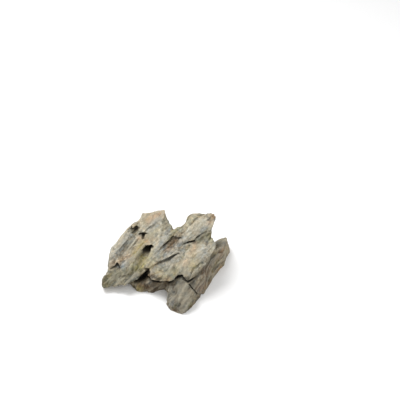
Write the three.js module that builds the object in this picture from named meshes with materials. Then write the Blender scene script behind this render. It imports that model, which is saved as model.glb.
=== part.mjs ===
// A dragon stone: one piece of weathered clay stone for a planted aquarium.
// The stone is described by a field that is negative inside it. Its masses are laid out first, then its
// ribs and ledges are raised, its water-worn hollows are scooped out, and the skin is netted at the end.
import * as THREE from "three";

// Driving dimensions, in millimetres and degrees.
const LEAN = 38; // the face that shows most leans back this far from upright
const ORIGIN = [3, 33, 0]; // zero of the faces that features are laid out on
const CELL = 3.6; // spacing of the net that the skin is drawn on
const NET = { low: [-86, -76, -2 * CELL], size: [172, 150, 78] }; // the block of space that is netted
const HEART = [0, 10, 12]; // a point well inside the stone
const MIDDLE = [1.5, 4.2, 0]; // moved to the part's zero at the end
const CORNER = 2.5; // how far the edges of the masses are worn round
const FILM = 0.2; // how deep a point that is filled lies under the skin
const CREST = 1.2; // how far the crests of ribs are worn round
const FLANK = 4; // a rib has died away this many widths from its crest
const RISE = 3; // a hollow opens this many of its depths above the skin
const BEND = { size: 5, length: 30, apart: 10 }; // how far and how closely the masses are bent out of true
const WEAR = { size: 7, length: 17, depth: 22 }; // how far the walls are worn back under their upper edge
const FLUTES = { height: 1.5, across: 13, along: 46 }; // shallow flutes all over the stone

// The bedding top: height at zero, and its rise to the right and to the back.
const BED = { height: 33.5, right: 0.22, back: 0.34 };
// Other planes that bound the masses: height at zero, and rise to the right and to the back.
const SHELF_FLOOR = { height: 12.8, right: 0.22, back: -0.1 }; // underside of the upper layer
const TOE_SLOPE = { height: 35.4, right: 0.3, back: 0.61 }; // front slope of the lower layer
const SHOULDER_SLOPE = { height: 37.8, right: 0.113, back: -0.52 }; // right rear slope of the lower layer
// The flat wall between the toe and the slab that juts out at the right, and the line on the front face
// that it lies to the right of.
const WALL_FACET = { height: 128, right: -1.43, back: 1.67 };
const CRACK = [[26, -25], [37, -38]];
// A cleft behind the slab that juts out at the right: its floor, and where it starts.
const CLEFT = { floor: { height: -10.4, right: 1, back: -0.8 }, left: 53 };
const BACK_WALL = { depth: 70, lean: 0.2 }; // its place on the floor, and how far it leans in
const LOWER_DRAFT = 0.18; // how far the lower layer's walls lean in, for each mm of height

// The way that water has run through the stone, which its flutes follow.
const FLUTE_WAY = [0.64, 0.674, 0.37];

// Outline of the fluted upper layer on the front face, clockwise from its left corner.
const UPPER_OUTLINE = [
  [-79.5, -27.5], [-78.5, -20.5], [-73, -10], [-70, 8], [-68.7, 16.5], [-60.5, 24], [-50.5, 40],
  [-37, 51], [-32.5, 54], [-31, 61.5], [-20, 63], [-4, 62], [-1, 52], [8, 40], [20, 45],
  [24, 54], [28, 57.5], [42, 59], [58, 58.5], [59.5, 54], [56, 46], [54, 38], [54, 30],
  [58, 23], [58.5, 17], [50.5, 8], [46.5, 4], [46.5, -2.5], [38.5, -6], [32, -10.5], [25, -19],
  [19, -16], [14, -15], [10, -20], [-2, -25],
  [-12, -21], [-20, -15], [-23, -9], [-26, -17], [-36, -22], [-46, -25], [-60, -30.5],
  [-66, -30], [-76, -32],
];

// Footprint of the lower layer on the floor, in x and y, clockwise from its left end.
const FOOTPRINT = [
  [-71, -12], [-71, 10], [-59, 38], [-27, 62], [23, 67], [50, 66], [62, 65],
  [79.5, 61], [81.5, 47], [75, 20], [60.5, -2.5], [54, -15], [51, -27], [40.5, -42.5], [28, -62],
  [21, -65], [12, -62], [5, -56], [1.2, -46], [2.5, -29.5], [0, -23], [-5, -25], [-13, -31],
  [-22, -28], [-33.5, -25.5], [-39, -19.5], [-43, -12], [-57, -13.5],
];

// Ribs and ledges of the front face. Each crest runs through points [across, up, rise], and its flanks
// die away over the widths given for the left and right of its path. A ledge has one short flank.
const RIBS = [
  { crest: [[-14, 8, 0], [-10, 26, 5], [-7, 44, 9], [-4, 62, 13]], left: 26, right: 7 },
  { crest: [[16, 17, 0], [22, 20, 3], [33, 26, 5], [45, 33, 6], [57, 38, 6]], left: 34, right: 2.5 },
  { crest: [[-21, -8, 0], [-8, 0, 3.5], [3, 5, 4.5], [13, 10, 3], [19, 14, 0]], left: 12, right: 2.5 },
  { crest: [[-13, 8, 0], [-2, 21, 3], [8, 30, 3.5], [18, 30, 0]], left: 9, right: 2.5 },
  { crest: [[-66, 6, 1], [-58, 22, 3], [-48, 38, 2]], left: 9, right: 4 },
  { crest: [[-50, 0, 1], [-44, 15, 3], [-37, 27, 2]], left: 7, right: 3.5 },
  { crest: [[-43, -6, 2], [-36, 8, 3.5], [-28, 22, 3], [-20, 34, 1]], left: 7, right: 4 },
  { crest: [[-24, -6, 2], [-18, 8, 3], [-12, 20, 2]], left: 5, right: 9 },
  { crest: [[-74, -12, 0], [-60, -3, 3.5], [-50, -10, 2], [-42, -16, 0]], left: 14, right: 3 },
  { crest: [[15, -12, 1], [24, 4, 2.5], [29, 18, 1]], left: 6, right: 6 },
  { crest: [[31, -10, 1], [40, 8, 2.5], [45, 26, 1]], left: 7, right: 5 },
  { crest: [[8, -48, 0], [18, -33, 4], [24, -22, 3]], left: 6, right: 5 },
];

// Hollows. Each runs through points [across, up, width, depth] on a face, and creeps sideways by
// under for each mm of its depth, so that one edge of it overhangs.
const HOLLOWS = [
  {
    face: "front",
    path: [[-38, -9, 7, 1], [-31, 3, 10, 2.5], [-26, 9.5, 9, 6], [-23, 14.5, 8, 14]],
    under: [0.2, 0.3],
  },
  { face: "front", path: [[-42, 34, 3, 1], [-38.5, 38.5, 4.5, 4]], under: [0.15, 0.4] },
  { face: "front", path: [[-29.5, 27.5, 3, 1.5], [-29.5, 31.5, 4, 4]], under: [0, 0.4] },
  { face: "front", path: [[-31, -21, 8, 16], [-22.5, -12, 5.5, 10]], under: [0.1, 0.3] },
  {
    face: "front",
    path: [[-41, -29, 4, 12], [-33, -25.5, 6, 20], [-22, -23, 6, 20], [-12, -26, 6, 22], [0, -28, 6, 22]],
    under: [0, 0.4],
  },
  { face: "front", path: [[9, -23, 4, 6], [16.5, -16.5, 4, 8], [21, -18.5, 3, 5]], under: [0, 0.4] },
  { face: "back", path: [[-50, 21, 9, 3], [-42, 26, 12, 7], [-26, 33, 8, 3]], under: [0, 0.3] },
  { face: "back", path: [[-44, 1, 8, 3], [-24, 11, 13, 12]], under: [0.2, 0.4] },
  { face: "back", path: [[0, 4, 9, 3], [15, 14, 12, 8], [25, 20, 7, 3]], under: [-0.1, 0.4] },
  { face: "back", path: [[36, -6, 8, 5], [54, 2, 9, 7]], under: [0, 0.6] },
  { face: "left", path: [[-20, -18, 9, 4], [0, -11, 12, 9], [10, -9, 7, 3]], under: [0, 0.5] },
  { face: "left", path: [[23, -25, 7, 3], [40, -18, 7, 5]], under: [0, 0.5] },
  { face: "left", path: [[-24, -4, 8, 3], [-8, 4, 9, 6]], under: [0, 0.4] },
];

// --- faces ------------------------------------------------------------------------------------

// A face has axes to its right, up and out. Azimuth 0 is the front, and 90 the right-hand side.
function face(azimuth, elevation) {
  const turn = (azimuth * Math.PI) / 180;
  const tilt = (elevation * Math.PI) / 180;
  const right = [Math.cos(turn), Math.sin(turn), 0];
  const out = [Math.sin(turn) * Math.cos(tilt), -Math.cos(turn) * Math.cos(tilt), Math.sin(tilt)];
  const up = [-Math.sin(turn) * Math.sin(tilt), Math.cos(turn) * Math.sin(tilt), Math.cos(tilt)];
  return { right, up, out };
}

const FACES = { front: face(0, LEAN), back: face(180, 24), left: face(270, 24) };

// A point's place across, up and out of a face.
function onFace({ right, up, out }, x, y, z) {
  const [dx, dy, dz] = [x - ORIGIN[0], y - ORIGIN[1], z - ORIGIN[2]];
  return [
    dx * right[0] + dy * right[1] + dz * right[2],
    dx * up[0] + dy * up[1] + dz * up[2],
    dx * out[0] + dy * out[1] + dz * out[2],
  ];
}

function offFace({ right, up, out }, across, rise, far) {
  return [0, 1, 2].map((i) => ORIGIN[i] + across * right[i] + rise * up[i] + far * out[i]);
}

// --- helpers ----------------------------------------------------------------------------------

const TINY = 1e-6; // keeps a length that is divided by from being zero

function smoothMax(p, q, radius) {
  const h = Math.max(radius - Math.abs(p - q), 0) / radius;
  return Math.max(p, q) + (h * h * radius) / 4;
}

const smoothMin = (p, q, radius) => -smoothMax(-p, -q, radius);

const mix = (p, q, t) => p + (q - p) * t;

// Eases from 0 to 1 as t goes from -1 to 1.
const smoothStep = (t) => (2 + 3 * t - t * t * t) / 4;

// The nearest point of a path: its distance, how far the point lies to its left, from -1 to 1, and the
// path's other numbers there, such as its rise.
function alongPath(path, px, py) {
  let best = { distance: Infinity };
  for (let i = 0; i + 1 < path.length; i++) {
    const [p, q] = [path[i], path[i + 1]];
    const [ex, ey] = [q[0] - p[0], q[1] - p[1]];
    const [wx, wy] = [px - p[0], py - p[1]];
    const t = Math.min(1, Math.max(0, (wx * ex + wy * ey) / (ex * ex + ey * ey)));
    const distance = Math.hypot(wx - ex * t, wy - ey * t);
    if (distance >= best.distance) continue;
    const left = (ex * wy - ey * wx) / (Math.hypot(ex, ey) * Math.max(distance, TINY));
    best = { distance, left, i, t };
  }
  const [p, q] = [path[best.i], path[best.i + 1]];
  best.values = p.slice(2).map((value, k) => mix(value, q[k + 2], best.t));
  return best;
}

// Signed distance from a point to a closed outline, negative inside.
function outlineDistance(px, py, points) {
  let nearest = Infinity;
  let inside = false;
  for (let i = 0, j = points.length - 1; i < points.length; j = i++) {
    const [xi, yi] = points[i];
    const [xj, yj] = points[j];
    const [ex, ey] = [xj - xi, yj - yi];
    const [wx, wy] = [px - xi, py - yi];
    const t = Math.min(1, Math.max(0, (wx * ex + wy * ey) / (ex * ex + ey * ey)));
    nearest = Math.min(nearest, Math.hypot(wx - ex * t, wy - ey * t));
    if (yi > py !== yj > py && px < (ex * (py - yi)) / ey + xi) inside = !inside;
  }
  return inside ? -nearest : nearest;
}

// A random number from 0 to 1 that belongs to a whole-number place.
const SCATTER = { steps: [127.1, 311.7, 74.7], size: 43758.5453 };

function grain(i, j, k) {
  const [p, q, r] = SCATTER.steps;
  const scattered = Math.sin(i * p + j * q + k * r) * SCATTER.size;
  return scattered - Math.floor(scattered);
}

// Smooth noise from 0 to 1.
function noise(x, y, z) {
  const [i, j, k] = [Math.floor(x), Math.floor(y), Math.floor(z)];
  const [u, v, w] = [x - i, y - j, z - k].map((t) => t * t * (3 - 2 * t));
  const row = (b, c) => mix(grain(i, j + b, k + c), grain(i + 1, j + b, k + c), u);
  return mix(mix(row(0, 0), row(1, 0), v), mix(row(0, 1), row(1, 1), v), w);
}

// The place that the bent stone is measured from: coarse noise, and finer noise of half its size.
function bent(x, y, z) {
  return [x, y, z].map((c, axis) => {
    const [p, q, r] = [x, y, z].map((d) => d / BEND.length + BEND.apart * axis);
    return c + BEND.size * (noise(p, q, r) - 0.5 + (noise(2 * p, 2 * q, 2 * r) - 0.5) / 2);
  });
}

// Flutes with sharp crests that run the way of the water, from 0 in their beds to 1 on their crests.
const fluteUp = new THREE.Vector3(...FLUTE_WAY).normalize();
const fluteSide = new THREE.Vector3(0, 0, 1).cross(fluteUp).normalize();
const fluteOver = fluteUp.clone().cross(fluteSide);

function flutes(x, y, z) {
  const along = (x * fluteUp.x + y * fluteUp.y + z * fluteUp.z) / FLUTES.along;
  const side = (x * fluteSide.x + y * fluteSide.y + z * fluteSide.z) / FLUTES.across;
  const over = (x * fluteOver.x + y * fluteOver.y + z * fluteOver.z) / FLUTES.across;
  return 1 - Math.abs(2 * noise(along, side, over) - 1);
}

// --- masses -----------------------------------------------------------------------------------

const planeHeight = (plane, x, y) => plane.height + plane.right * x + plane.back * y;

// How far above a sloping plane a point lies, negative when it is below.
function overPlane(plane, x, y, z) {
  return (z - planeHeight(plane, x, y)) / Math.hypot(1, plane.right, plane.back);
}

// How far a place on the front face lies to the right of a line, looking from the line's end to its start.
function rightOf([[x0, y0], [x1, y1]], across, up) {
  return ((across - x0) * (y0 - y1) + (up - y0) * (x1 - x0)) / Math.hypot(x1 - x0, y1 - y0);
}

// How far the ribs and ledges raise the front face at a place on it.
function lift(across, up) {
  let sum = 0;
  for (const { crest, left, right } of RIBS) {
    const near = alongPath(crest, across, up);
    const off = Math.hypot(near.distance, CREST) - CREST;
    const spread = mix(right, left, smoothStep(near.left));
    if (off < FLANK * spread) sum += near.values[0] * Math.exp(-off / spread);
  }
  return sum;
}

// The bedding top, before its ribs are raised.
function bedTop(x, y, z) {
  return overPlane(BED, ...bent(x, y, z));
}

function body(x, y, z) {
  const place = bent(x, y, z);
  const [across, up] = onFace(FACES.front, x, y, z);
  const raised = lift(across, up);
  const top = bedTop(x, y, z) - raised;
  const wear = WEAR.size * noise(x / WEAR.length, y / WEAR.length, z / WEAR.length);
  const worn = wear * Math.min(1, Math.max(0, -top / WEAR.depth));
  let upper = smoothMax(top, outlineDistance(across, up, UPPER_OUTLINE) + worn, CORNER);
  upper = smoothMax(upper, -overPlane(SHELF_FLOOR, ...place), CORNER);
  upper = smoothMax(upper, place[1] + BACK_WALL.lean * z - BACK_WALL.depth, 2 * CORNER);
  let lower = outlineDistance(x, y, FOOTPRINT) + LOWER_DRAFT * z + worn / 2;
  lower = smoothMax(lower, top, CORNER);
  lower = smoothMax(lower, overPlane(TOE_SLOPE, ...place) - raised, CORNER);
  lower = smoothMax(lower, overPlane(SHOULDER_SLOPE, ...place), CORNER);
  const facet = smoothMin(overPlane(WALL_FACET, ...place), rightOf(CRACK, across, up), CORNER);
  lower = smoothMax(lower, facet, CORNER);
  lower = smoothMax(lower, Math.min(overPlane(CLEFT.floor, ...place), x - CLEFT.left), CORNER);
  return smoothMin(upper, lower, CORNER) + FLUTES.height * (0.5 - flutes(...place));
}

// --- hollows ----------------------------------------------------------------------------------

const OUTSIDE = 140; // farther out of any face than the stone reaches
const STEP = 0.5;

// How far out of a face a solid's skin lies at a place on it.
function skinOut(solid, axes, across, up) {
  let far = OUTSIDE;
  while (far > -OUTSIDE && solid(...offFace(axes, across, up, far)) > 0) far -= STEP;
  return far;
}

// Hollows of the front are sunk from the bedding top, and the others from the skin of the walls.
const hollows = HOLLOWS.map(({ face: name, path, under }) => {
  const axes = FACES[name];
  const solid = name === "front" ? bedTop : body;
  const laid = path.map(([across, up, width, depth]) => {
    return [across, up, width / 2, depth, skinOut(solid, axes, across, up)];
  });
  const skin = laid.reduce((sum, point) => sum + point[4], 0) / laid.length;
  return { axes, path: laid, under, skin };
});

function hollowDistance({ axes, path, under, skin }, x, y, z) {
  const [across, up, far] = onFace(axes, x, y, z);
  const guess = Math.max(0, skin - far);
  const first = alongPath(path, across - under[0] * guess, up - under[1] * guess);
  const down = first.values[2] - far;
  const creep = Math.max(0, down);
  const near = alongPath(path, across - under[0] * creep, up - under[1] * creep);
  const [reach, depth] = near.values;
  const sunk = down > 0 ? down / depth : down / (RISE * depth);
  return (Math.hypot(near.distance / reach, sunk) - 1) * Math.min(reach, depth);
}

function field(x, y, z) {
  let inside = body(x, y, z);
  for (const hollow of hollows) inside = smoothMax(inside, -hollowDistance(hollow, x, y, z), CREST);
  return Math.max(inside, -z);
}

// --- the net ----------------------------------------------------------------------------------

const [nx, ny, nz] = NET.size.map((size) => Math.ceil(size / CELL) + 1);
const at = (i, j, k) => i + nx * (j + ny * k);

// Whether the corners of a cell that are marked in a mask, or those that aren't, lie in two groups.
function isPinched(mask) {
  for (const marked of [mask, 255 - mask]) {
    if (marked === 0) continue;
    let group = marked & -marked;
    for (let grown = 0; grown !== group; ) {
      grown = group;
      for (let corner = 0; corner < 8; corner++)
        for (const side of [1, 2, 4])
          if (group & (1 << corner)) group |= marked & (1 << (corner ^ side));
    }
    if (group !== marked) return true;
  }
  return false;
}

const PINCHED = Array.from({ length: 256 }, (_, mask) => isPinched(mask));

// Fills the cells where two sheets of the skin would meet at an edge or a point.
function openPinches(values) {
  const corners = [0, 1, nx, nx + 1].flatMap((step) => [step, step + nx * ny]);
  corners.sort((p, q) => p - q);
  for (let again = true; again; ) {
    again = false;
    for (let cell = 0; cell + corners[7] < values.length; cell++) {
      let mask = 0;
      corners.forEach((step, corner) => (mask |= (values[cell + step] < 0) << corner));
      if (!PINCHED[mask]) continue;
      const empty = corners.filter((step) => values[cell + step] >= 0);
      const thinnest = empty.reduce((p, q) => (values[cell + p] < values[cell + q] ? p : q));
      values[cell + thinnest] = -FILM;
      again = true;
    }
  }
}

// Turns over every value that the first one of its sign can't be reached from, so that the stone is
// left in one piece, with no sealed hollow in it.
function keepOne(values, start) {
  const inside = values[start] < 0;
  const reached = new Uint8Array(values.length);
  const queue = [start];
  reached[start] = 1;
  while (queue.length > 0) {
    const here = queue.pop();
    for (const step of [1, -1, nx, -nx, nx * ny, -nx * ny]) {
      const next = here + step;
      if (next < 0 || next >= values.length || reached[next] || values[next] < 0 !== inside) continue;
      reached[next] = 1;
      queue.push(next);
    }
  }
  values.forEach((value, n) => {
    if (value < 0 === inside && !reached[n]) values[n] = -value;
  });
}

// Draws the skin of the field as a closed net of quads, each split in two triangles.
function netted() {
  const values = new Float32Array(nx * ny * nz);
  for (let k = 0; k < nz; k++)
    for (let j = 0; j < ny; j++)
      for (let i = 0; i < nx; i++)
        values[at(i, j, k)] = field(NET.low[0] + i * CELL, NET.low[1] + j * CELL, NET.low[2] + k * CELL);
  openPinches(values);
  keepOne(values, at(0, 0, 0));
  keepOne(values, at(...HEART.map((c, n) => Math.round((c - NET.low[n]) / CELL))));
  const positions = [];
  const vertexOf = new Map();
  const vertex = (i, j, k) => {
    const key = at(i, j, k);
    if (vertexOf.has(key)) return vertexOf.get(key);
    const sum = [0, 0, 0];
    let crossings = 0;
    for (let corner = 0; corner < 8; corner++)
      for (let axis = 0; axis < 3; axis++) {
        if (corner & (1 << axis)) continue;
        const low = [corner & 1, (corner >> 1) & 1, (corner >> 2) & 1];
        const high = low.map((c, n) => (n === axis ? 1 : c));
        const valueLow = values[at(i + low[0], j + low[1], k + low[2])];
        const valueHigh = values[at(i + high[0], j + high[1], k + high[2])];
        if (valueLow < 0 === valueHigh < 0) continue;
        low[axis] += valueLow / (valueLow - valueHigh);
        low.forEach((c, n) => (sum[n] += c));
        crossings++;
      }
    const place = [i, j, k].map((c, n) => NET.low[n] + (c + sum[n] / crossings) * CELL);
    positions.push(...place.map((c, n) => c - MIDDLE[n]));
    vertexOf.set(key, vertexOf.size);
    return vertexOf.size - 1;
  };
  const steps = [[1, 0, 0], [0, 1, 0], [0, 0, 1]];
  const faces = [];
  for (let k = 1; k < nz - 1; k++)
    for (let j = 1; j < ny - 1; j++)
      for (let i = 1; i < nx - 1; i++)
        for (let axis = 0; axis < 3; axis++) {
          const [ahead, u, v] = [steps[axis], steps[(axis + 1) % 3], steps[(axis + 2) % 3]];
          const here = values[at(i, j, k)] < 0;
          const there = values[at(i + ahead[0], j + ahead[1], k + ahead[2])] < 0;
          if (here === there) continue;
          const quad = [
            vertex(i, j, k),
            vertex(i - u[0], j - u[1], k - u[2]),
            vertex(i - u[0] - v[0], j - u[1] - v[1], k - u[2] - v[2]),
            vertex(i - v[0], j - v[1], k - v[2]),
          ];
          if (!here) quad.reverse();
          faces.push(quad[0], quad[1], quad[2], quad[0], quad[2], quad[3]);
        }
  return new THREE.BufferGeometry()
    .setAttribute("position", new THREE.Float32BufferAttribute(positions, 3))
    .setIndex(faces);
}

const skin = netted();
skin.computeVertexNormals();

const claystone = new THREE.MeshStandardMaterial({ color: 0x98907e, roughness: 0.95, metalness: 0 });
const stone = new THREE.Mesh(skin, claystone);
stone.name = "stone";

const group = new THREE.Group();
group.add(stone);
export default group;
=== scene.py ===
"""A dragon stone: clay stone that water has fluted and pitted, on a pale floor under soft light.

The stone is carved from a field that is negative inside it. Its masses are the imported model's own, and
the flutes, burrows, creases and grit of its surface are carved into them here.
"""

import math
from concurrent.futures import ThreadPoolExecutor

import bpy
import numpy as np
import openvdb
from mathutils import Matrix, Vector


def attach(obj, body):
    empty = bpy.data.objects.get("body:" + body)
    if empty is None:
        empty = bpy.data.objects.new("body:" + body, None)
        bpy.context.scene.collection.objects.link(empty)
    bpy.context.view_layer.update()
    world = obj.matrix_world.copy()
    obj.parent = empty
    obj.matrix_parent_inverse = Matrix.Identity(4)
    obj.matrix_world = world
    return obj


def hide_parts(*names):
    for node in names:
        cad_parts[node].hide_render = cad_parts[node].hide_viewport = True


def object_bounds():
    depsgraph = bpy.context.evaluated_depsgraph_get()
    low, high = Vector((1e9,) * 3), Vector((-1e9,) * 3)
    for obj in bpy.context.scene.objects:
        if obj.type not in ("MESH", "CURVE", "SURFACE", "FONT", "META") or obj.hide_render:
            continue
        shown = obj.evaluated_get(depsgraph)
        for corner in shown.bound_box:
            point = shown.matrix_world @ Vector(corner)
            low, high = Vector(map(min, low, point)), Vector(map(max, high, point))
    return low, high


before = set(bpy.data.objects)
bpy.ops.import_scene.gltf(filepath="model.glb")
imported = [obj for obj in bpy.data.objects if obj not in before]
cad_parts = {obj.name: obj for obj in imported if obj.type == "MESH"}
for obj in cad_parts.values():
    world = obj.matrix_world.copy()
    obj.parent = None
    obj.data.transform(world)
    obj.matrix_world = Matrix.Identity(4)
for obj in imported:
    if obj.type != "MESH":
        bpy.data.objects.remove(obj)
CAD_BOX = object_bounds()

bl_info = {
    "name": "Dragon Stone",
    "version": (1, 0, 0),
    "blender": (4, 5, 0),
    "location": "3D View > Sidebar > Dragon Stone",
    "description": "Carves a fluted and pitted clay stone, and sets a floor, lights and a camera for it",
    "category": "Add Mesh",
}

# --- The stone's shape, in millimetres and degrees --------------------------------------------------
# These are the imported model's own numbers, down to HOLLOWS. Only the part of UPPER_OUTLINE between
# (10, -20) and (-23, -9), the lip over the middle of the front, lies up to 3 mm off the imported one.

MM = 0.001
LEAN = 38  # the face that shows most leans back this far from upright
ORIGIN = np.float32([3, 33, 0])  # zero of the faces that features are laid out on
MIDDLE = np.float32([1.5, 4.2, 0])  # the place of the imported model's zero in the carving's own frame
CORNER = 2.5  # how far the edges of the masses are worn round
CREST = 1.2  # how far the crests of ribs are worn round
FLANK = 4  # a rib has died away this many widths from its crest
RISE = 3  # a hollow opens this many of its depths above the skin
BEND = {"size": 5, "length": 30, "apart": 10}  # how far and over what length noise bends the planes
WEAR = {"size": 7, "length": 17, "depth": 22}  # how far and to what depth noise wears the layers' sides
FLUTES = {"height": 1.5, "across": 13, "along": 46}  # the coarse flutes, and their lengths

# Planes: height at zero, and rise to the right and to the back.
BED = (33.5, 0.22, 0.34)  # top of the upper layer
SHELF_FLOOR = (12.8, 0.22, -0.1)  # underside of the upper layer
TOE_SLOPE = (35.4, 0.3, 0.61)  # front slope of the lower layer
SHOULDER_SLOPE = (37.8, 0.113, -0.52)  # right rear slope of the lower layer
CLEFT_FLOOR = (-10.4, 1, -0.8)  # floor of the cleft behind the slab that juts out at the right
CLEFT_LEFT = 53  # where the cleft starts
WALL_FACET = (128, -1.43, 1.67)  # flat wall between the toe and that slab
CRACK = ((26, -25), (37, -38))  # the wall's facet lies to the right of this line on the front face
BACK_WALL = {"depth": 70, "lean": 0.2}  # its place on the floor, and how far it leans in
LOWER_DRAFT = 0.18  # how far the lower layer's walls lean in, for each mm of height

# The way that water has run through the stone, which its flutes follow.
FLUTE_WAY = np.float32([0.64, 0.674, 0.37])

# Outline of the fluted upper layer on the front face, clockwise from its left corner.
UPPER_OUTLINE = [
    (-79.5, -27.5), (-78.5, -20.5), (-73, -10), (-70, 8), (-68.7, 16.5), (-60.5, 24), (-50.5, 40),
    (-37, 51), (-32.5, 54), (-31, 61.5), (-20, 63), (-4, 62), (-1, 52), (8, 40), (20, 45),
    (24, 54), (28, 57.5), (42, 59), (58, 58.5), (59.5, 54), (56, 46), (54, 38), (54, 30),
    (58, 23), (58.5, 17), (50.5, 8), (46.5, 4), (46.5, -2.5), (38.5, -6), (32, -10.5),
    (25, -19), (19, -16), (14, -15), (10, -20), (4, -22.4), (-3, -22.6), (-11, -22.4),
    (-17, -21), (-20, -18), (-20.5, -14), (-23, -9), (-26, -17), (-36, -22), (-46, -25),
    (-60, -30.5), (-66, -30), (-76, -32),
]

# Footprint of the lower layer on the floor, in x and y, clockwise from its left end.
FOOTPRINT = [
    (-71, -12), (-71, 10), (-59, 38), (-27, 62), (23, 67), (50, 66), (62, 65),
    (79.5, 61), (81.5, 47), (75, 20), (60.5, -2.5), (54, -15), (51, -27), (40.5, -42.5), (28, -62),
    (21, -65), (12, -62), (5, -56), (1.2, -46), (2.5, -29.5), (0, -23), (-5, -25), (-13, -31),
    (-22, -28), (-33.5, -25.5), (-39, -19.5), (-43, -12), (-57, -13.5),
]

# Ribs of the front face: the widths of their left and right flanks, and a crest through points
# (across, up, rise).
RIBS = [
    (26, 7, [(-14, 8, 0), (-10, 26, 5), (-7, 44, 9), (-4, 62, 13)]),
    (34, 2.5, [(16, 17, 0), (22, 20, 3), (33, 26, 5), (45, 33, 6), (57, 38, 6)]),
    (12, 2.5, [(-21, -8, 0), (-8, 0, 3.5), (3, 5, 4.5), (13, 10, 3), (19, 14, 0)]),
    (9, 2.5, [(-13, 8, 0), (-2, 21, 3), (8, 30, 3.5), (18, 30, 0)]),
    (9, 4, [(-66, 6, 1), (-58, 22, 3), (-48, 38, 2)]),
    (7, 3.5, [(-50, 0, 1), (-44, 15, 3), (-37, 27, 2)]),
    (7, 4, [(-43, -6, 2), (-36, 8, 3.5), (-28, 22, 3), (-20, 34, 1)]),
    (5, 9, [(-24, -6, 2), (-18, 8, 3), (-12, 20, 2)]),
    (14, 3, [(-74, -12, 0), (-60, -3, 3.5), (-50, -10, 2), (-42, -16, 0)]),
    (6, 6, [(15, -12, 1), (24, 4, 2.5), (29, 18, 1)]),
    (7, 5, [(31, -10, 1), (40, 8, 2.5), (45, 26, 1)]),
    (6, 5, [(8, -48, 0), (18, -33, 4), (24, -22, 3)]),
]

# Hollows: the face they are sunk into, how far they creep across and up for each mm of depth, and a
# path through points (across, up, width, depth).
HOLLOWS = [
    ("front", (0.2, 0.3), [(-38, -9, 7, 1), (-31, 3, 10, 2.5), (-26, 9.5, 9, 6), (-23, 14.5, 8, 14)]),
    ("front", (0.15, 0.4), [(-42, 34, 3, 1), (-38.5, 38.5, 4.5, 4)]),
    ("front", (0, 0.4), [(-29.5, 27.5, 3, 1.5), (-29.5, 31.5, 4, 4)]),
    ("front", (0.1, 0.3), [(-31, -21, 8, 16), (-22.5, -12, 5.5, 10)]),
    ("front", (0, 0.4), [(-41, -29, 4, 12), (-33, -25.5, 6, 20), (-22, -23, 6, 20), (-12, -26, 6, 22),
                         (0, -28, 6, 22)]),
    ("front", (0, 0.4), [(9, -23, 4, 6), (16.5, -16.5, 4, 8), (21, -18.5, 3, 5)]),
    ("back", (0, 0.3), [(-50, 21, 9, 3), (-42, 26, 12, 7), (-26, 33, 8, 3)]),
    ("back", (0.2, 0.4), [(-44, 1, 8, 3), (-24, 11, 13, 12)]),
    ("back", (-0.1, 0.4), [(0, 4, 9, 3), (15, 14, 12, 8), (25, 20, 7, 3)]),
    ("back", (0, 0.6), [(36, -6, 8, 5), (54, 2, 9, 7)]),
    ("left", (0, 0.5), [(-20, -18, 9, 4), (0, -11, 12, 9), (10, -9, 7, 3)]),
    ("left", (0, 0.5), [(23, -25, 7, 3), (40, -18, 7, 5)]),
    ("left", (0, 0.4), [(-24, -4, 8, 3), (-8, 4, 9, 6)]),
]

# --- The stone's fine surface, in millimetres ---------------------------------------------------------

# Finer flutes, each with its height, and its lengths across and along the way of the water.
FINE_FLUTES = [(1.3, 6.5, 30), (0.75, 3.2, 17), (0.4, 1.7, 9)]
INSET = 1.0  # how far the fine surface lies inside the masses on the whole
FINE_BEND = {"size": 4.5, "length": 14, "apart": 40}  # how noise bends the fine flutes
# Shingles: thin layers that have broken away one after another. They climb across the flutes and over
# them, for most of their width, and end in a small step.
SHINGLES = {"height": 1.3, "spacing": 8.5, "across": 0.75, "over": 0.66, "climb": 0.82,
            "wander": 1.6, "length": 26, "apart": 90}
SHINGLED = {"length": 17, "apart": 50, "range": (0.27, 0.73)}  # where the stone is shingled

# Creases and ledges of the front face, raised as the ribs are.
LEDGES = [
    (7, 1.3, [(-29, 37, 0.5), (-20, 43, 1.6), (-10, 48.5, 1.2), (-7, 50, 0)]),
    (6, 1.5, [(-21, 22, 0), (-18, 30, 1.5), (-12, 40, 1)]),
    (6, 1.2, [(-61, 11, 0), (-55, 19, 2.6), (-47, 29, 2.4), (-42, 36, 0.5)]),
    (1.3, 4, [(-48, 12, 0), (-43, 19, 2.2), (-36, 28, 1.4)]),
    (4, 1.6, [(-43, -3, 0), (-39, 3, 1), (-34, 13, 1.2), (-30, 18, 0)]),
    (5, 1.5, [(-27, -6, 0), (-24, 4, 1.4), (-17, 16, 1.2), (-14, 20, 0)]),
    (3, 3, [(-58, 4, -1.2), (-50, 20, -2), (-40, 36, -2.4)]),
    (7, 1.2, [(-1, -14, 0), (8, -3, 1), (16, 7, 0.8), (19, 11, 0)]),
    (6, 1.4, [(19, -14, 0), (24, -2, 1.3), (30, 9, 1.3), (33, 18, 0)]),
    (6, 1.3, [(28, -11, 0), (36, 2, 1.2), (43, 14, 1.3), (46, 24, 0)]),
    (4, 1.2, [(33, 31, 0), (38, 40, 1), (45, 50, 0)]),
    (5, 1.5, [(23, 30, 0), (28, 37, 0.9), (36, 46, 0.9), (42, 54, 0)]),
    (1.2, 8, [(-29, 37, 0), (-32.5, 44, 2.4), (-32, 52, 2.4), (-31, 60, 1.5)]),
    (4, 1.5, [(45, 38, 0), (49, 44, 0.9), (52, 51, 0)]),
    (2.5, 2, [(12, -48, 0), (15, -42, 1.6), (18.5, -35, 1.8), (24, -26, 1.2)]),
    (2, 1.2, [(13, -56, 0), (22, -44, 1.2), (30, -33, 1)]),
]

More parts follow.
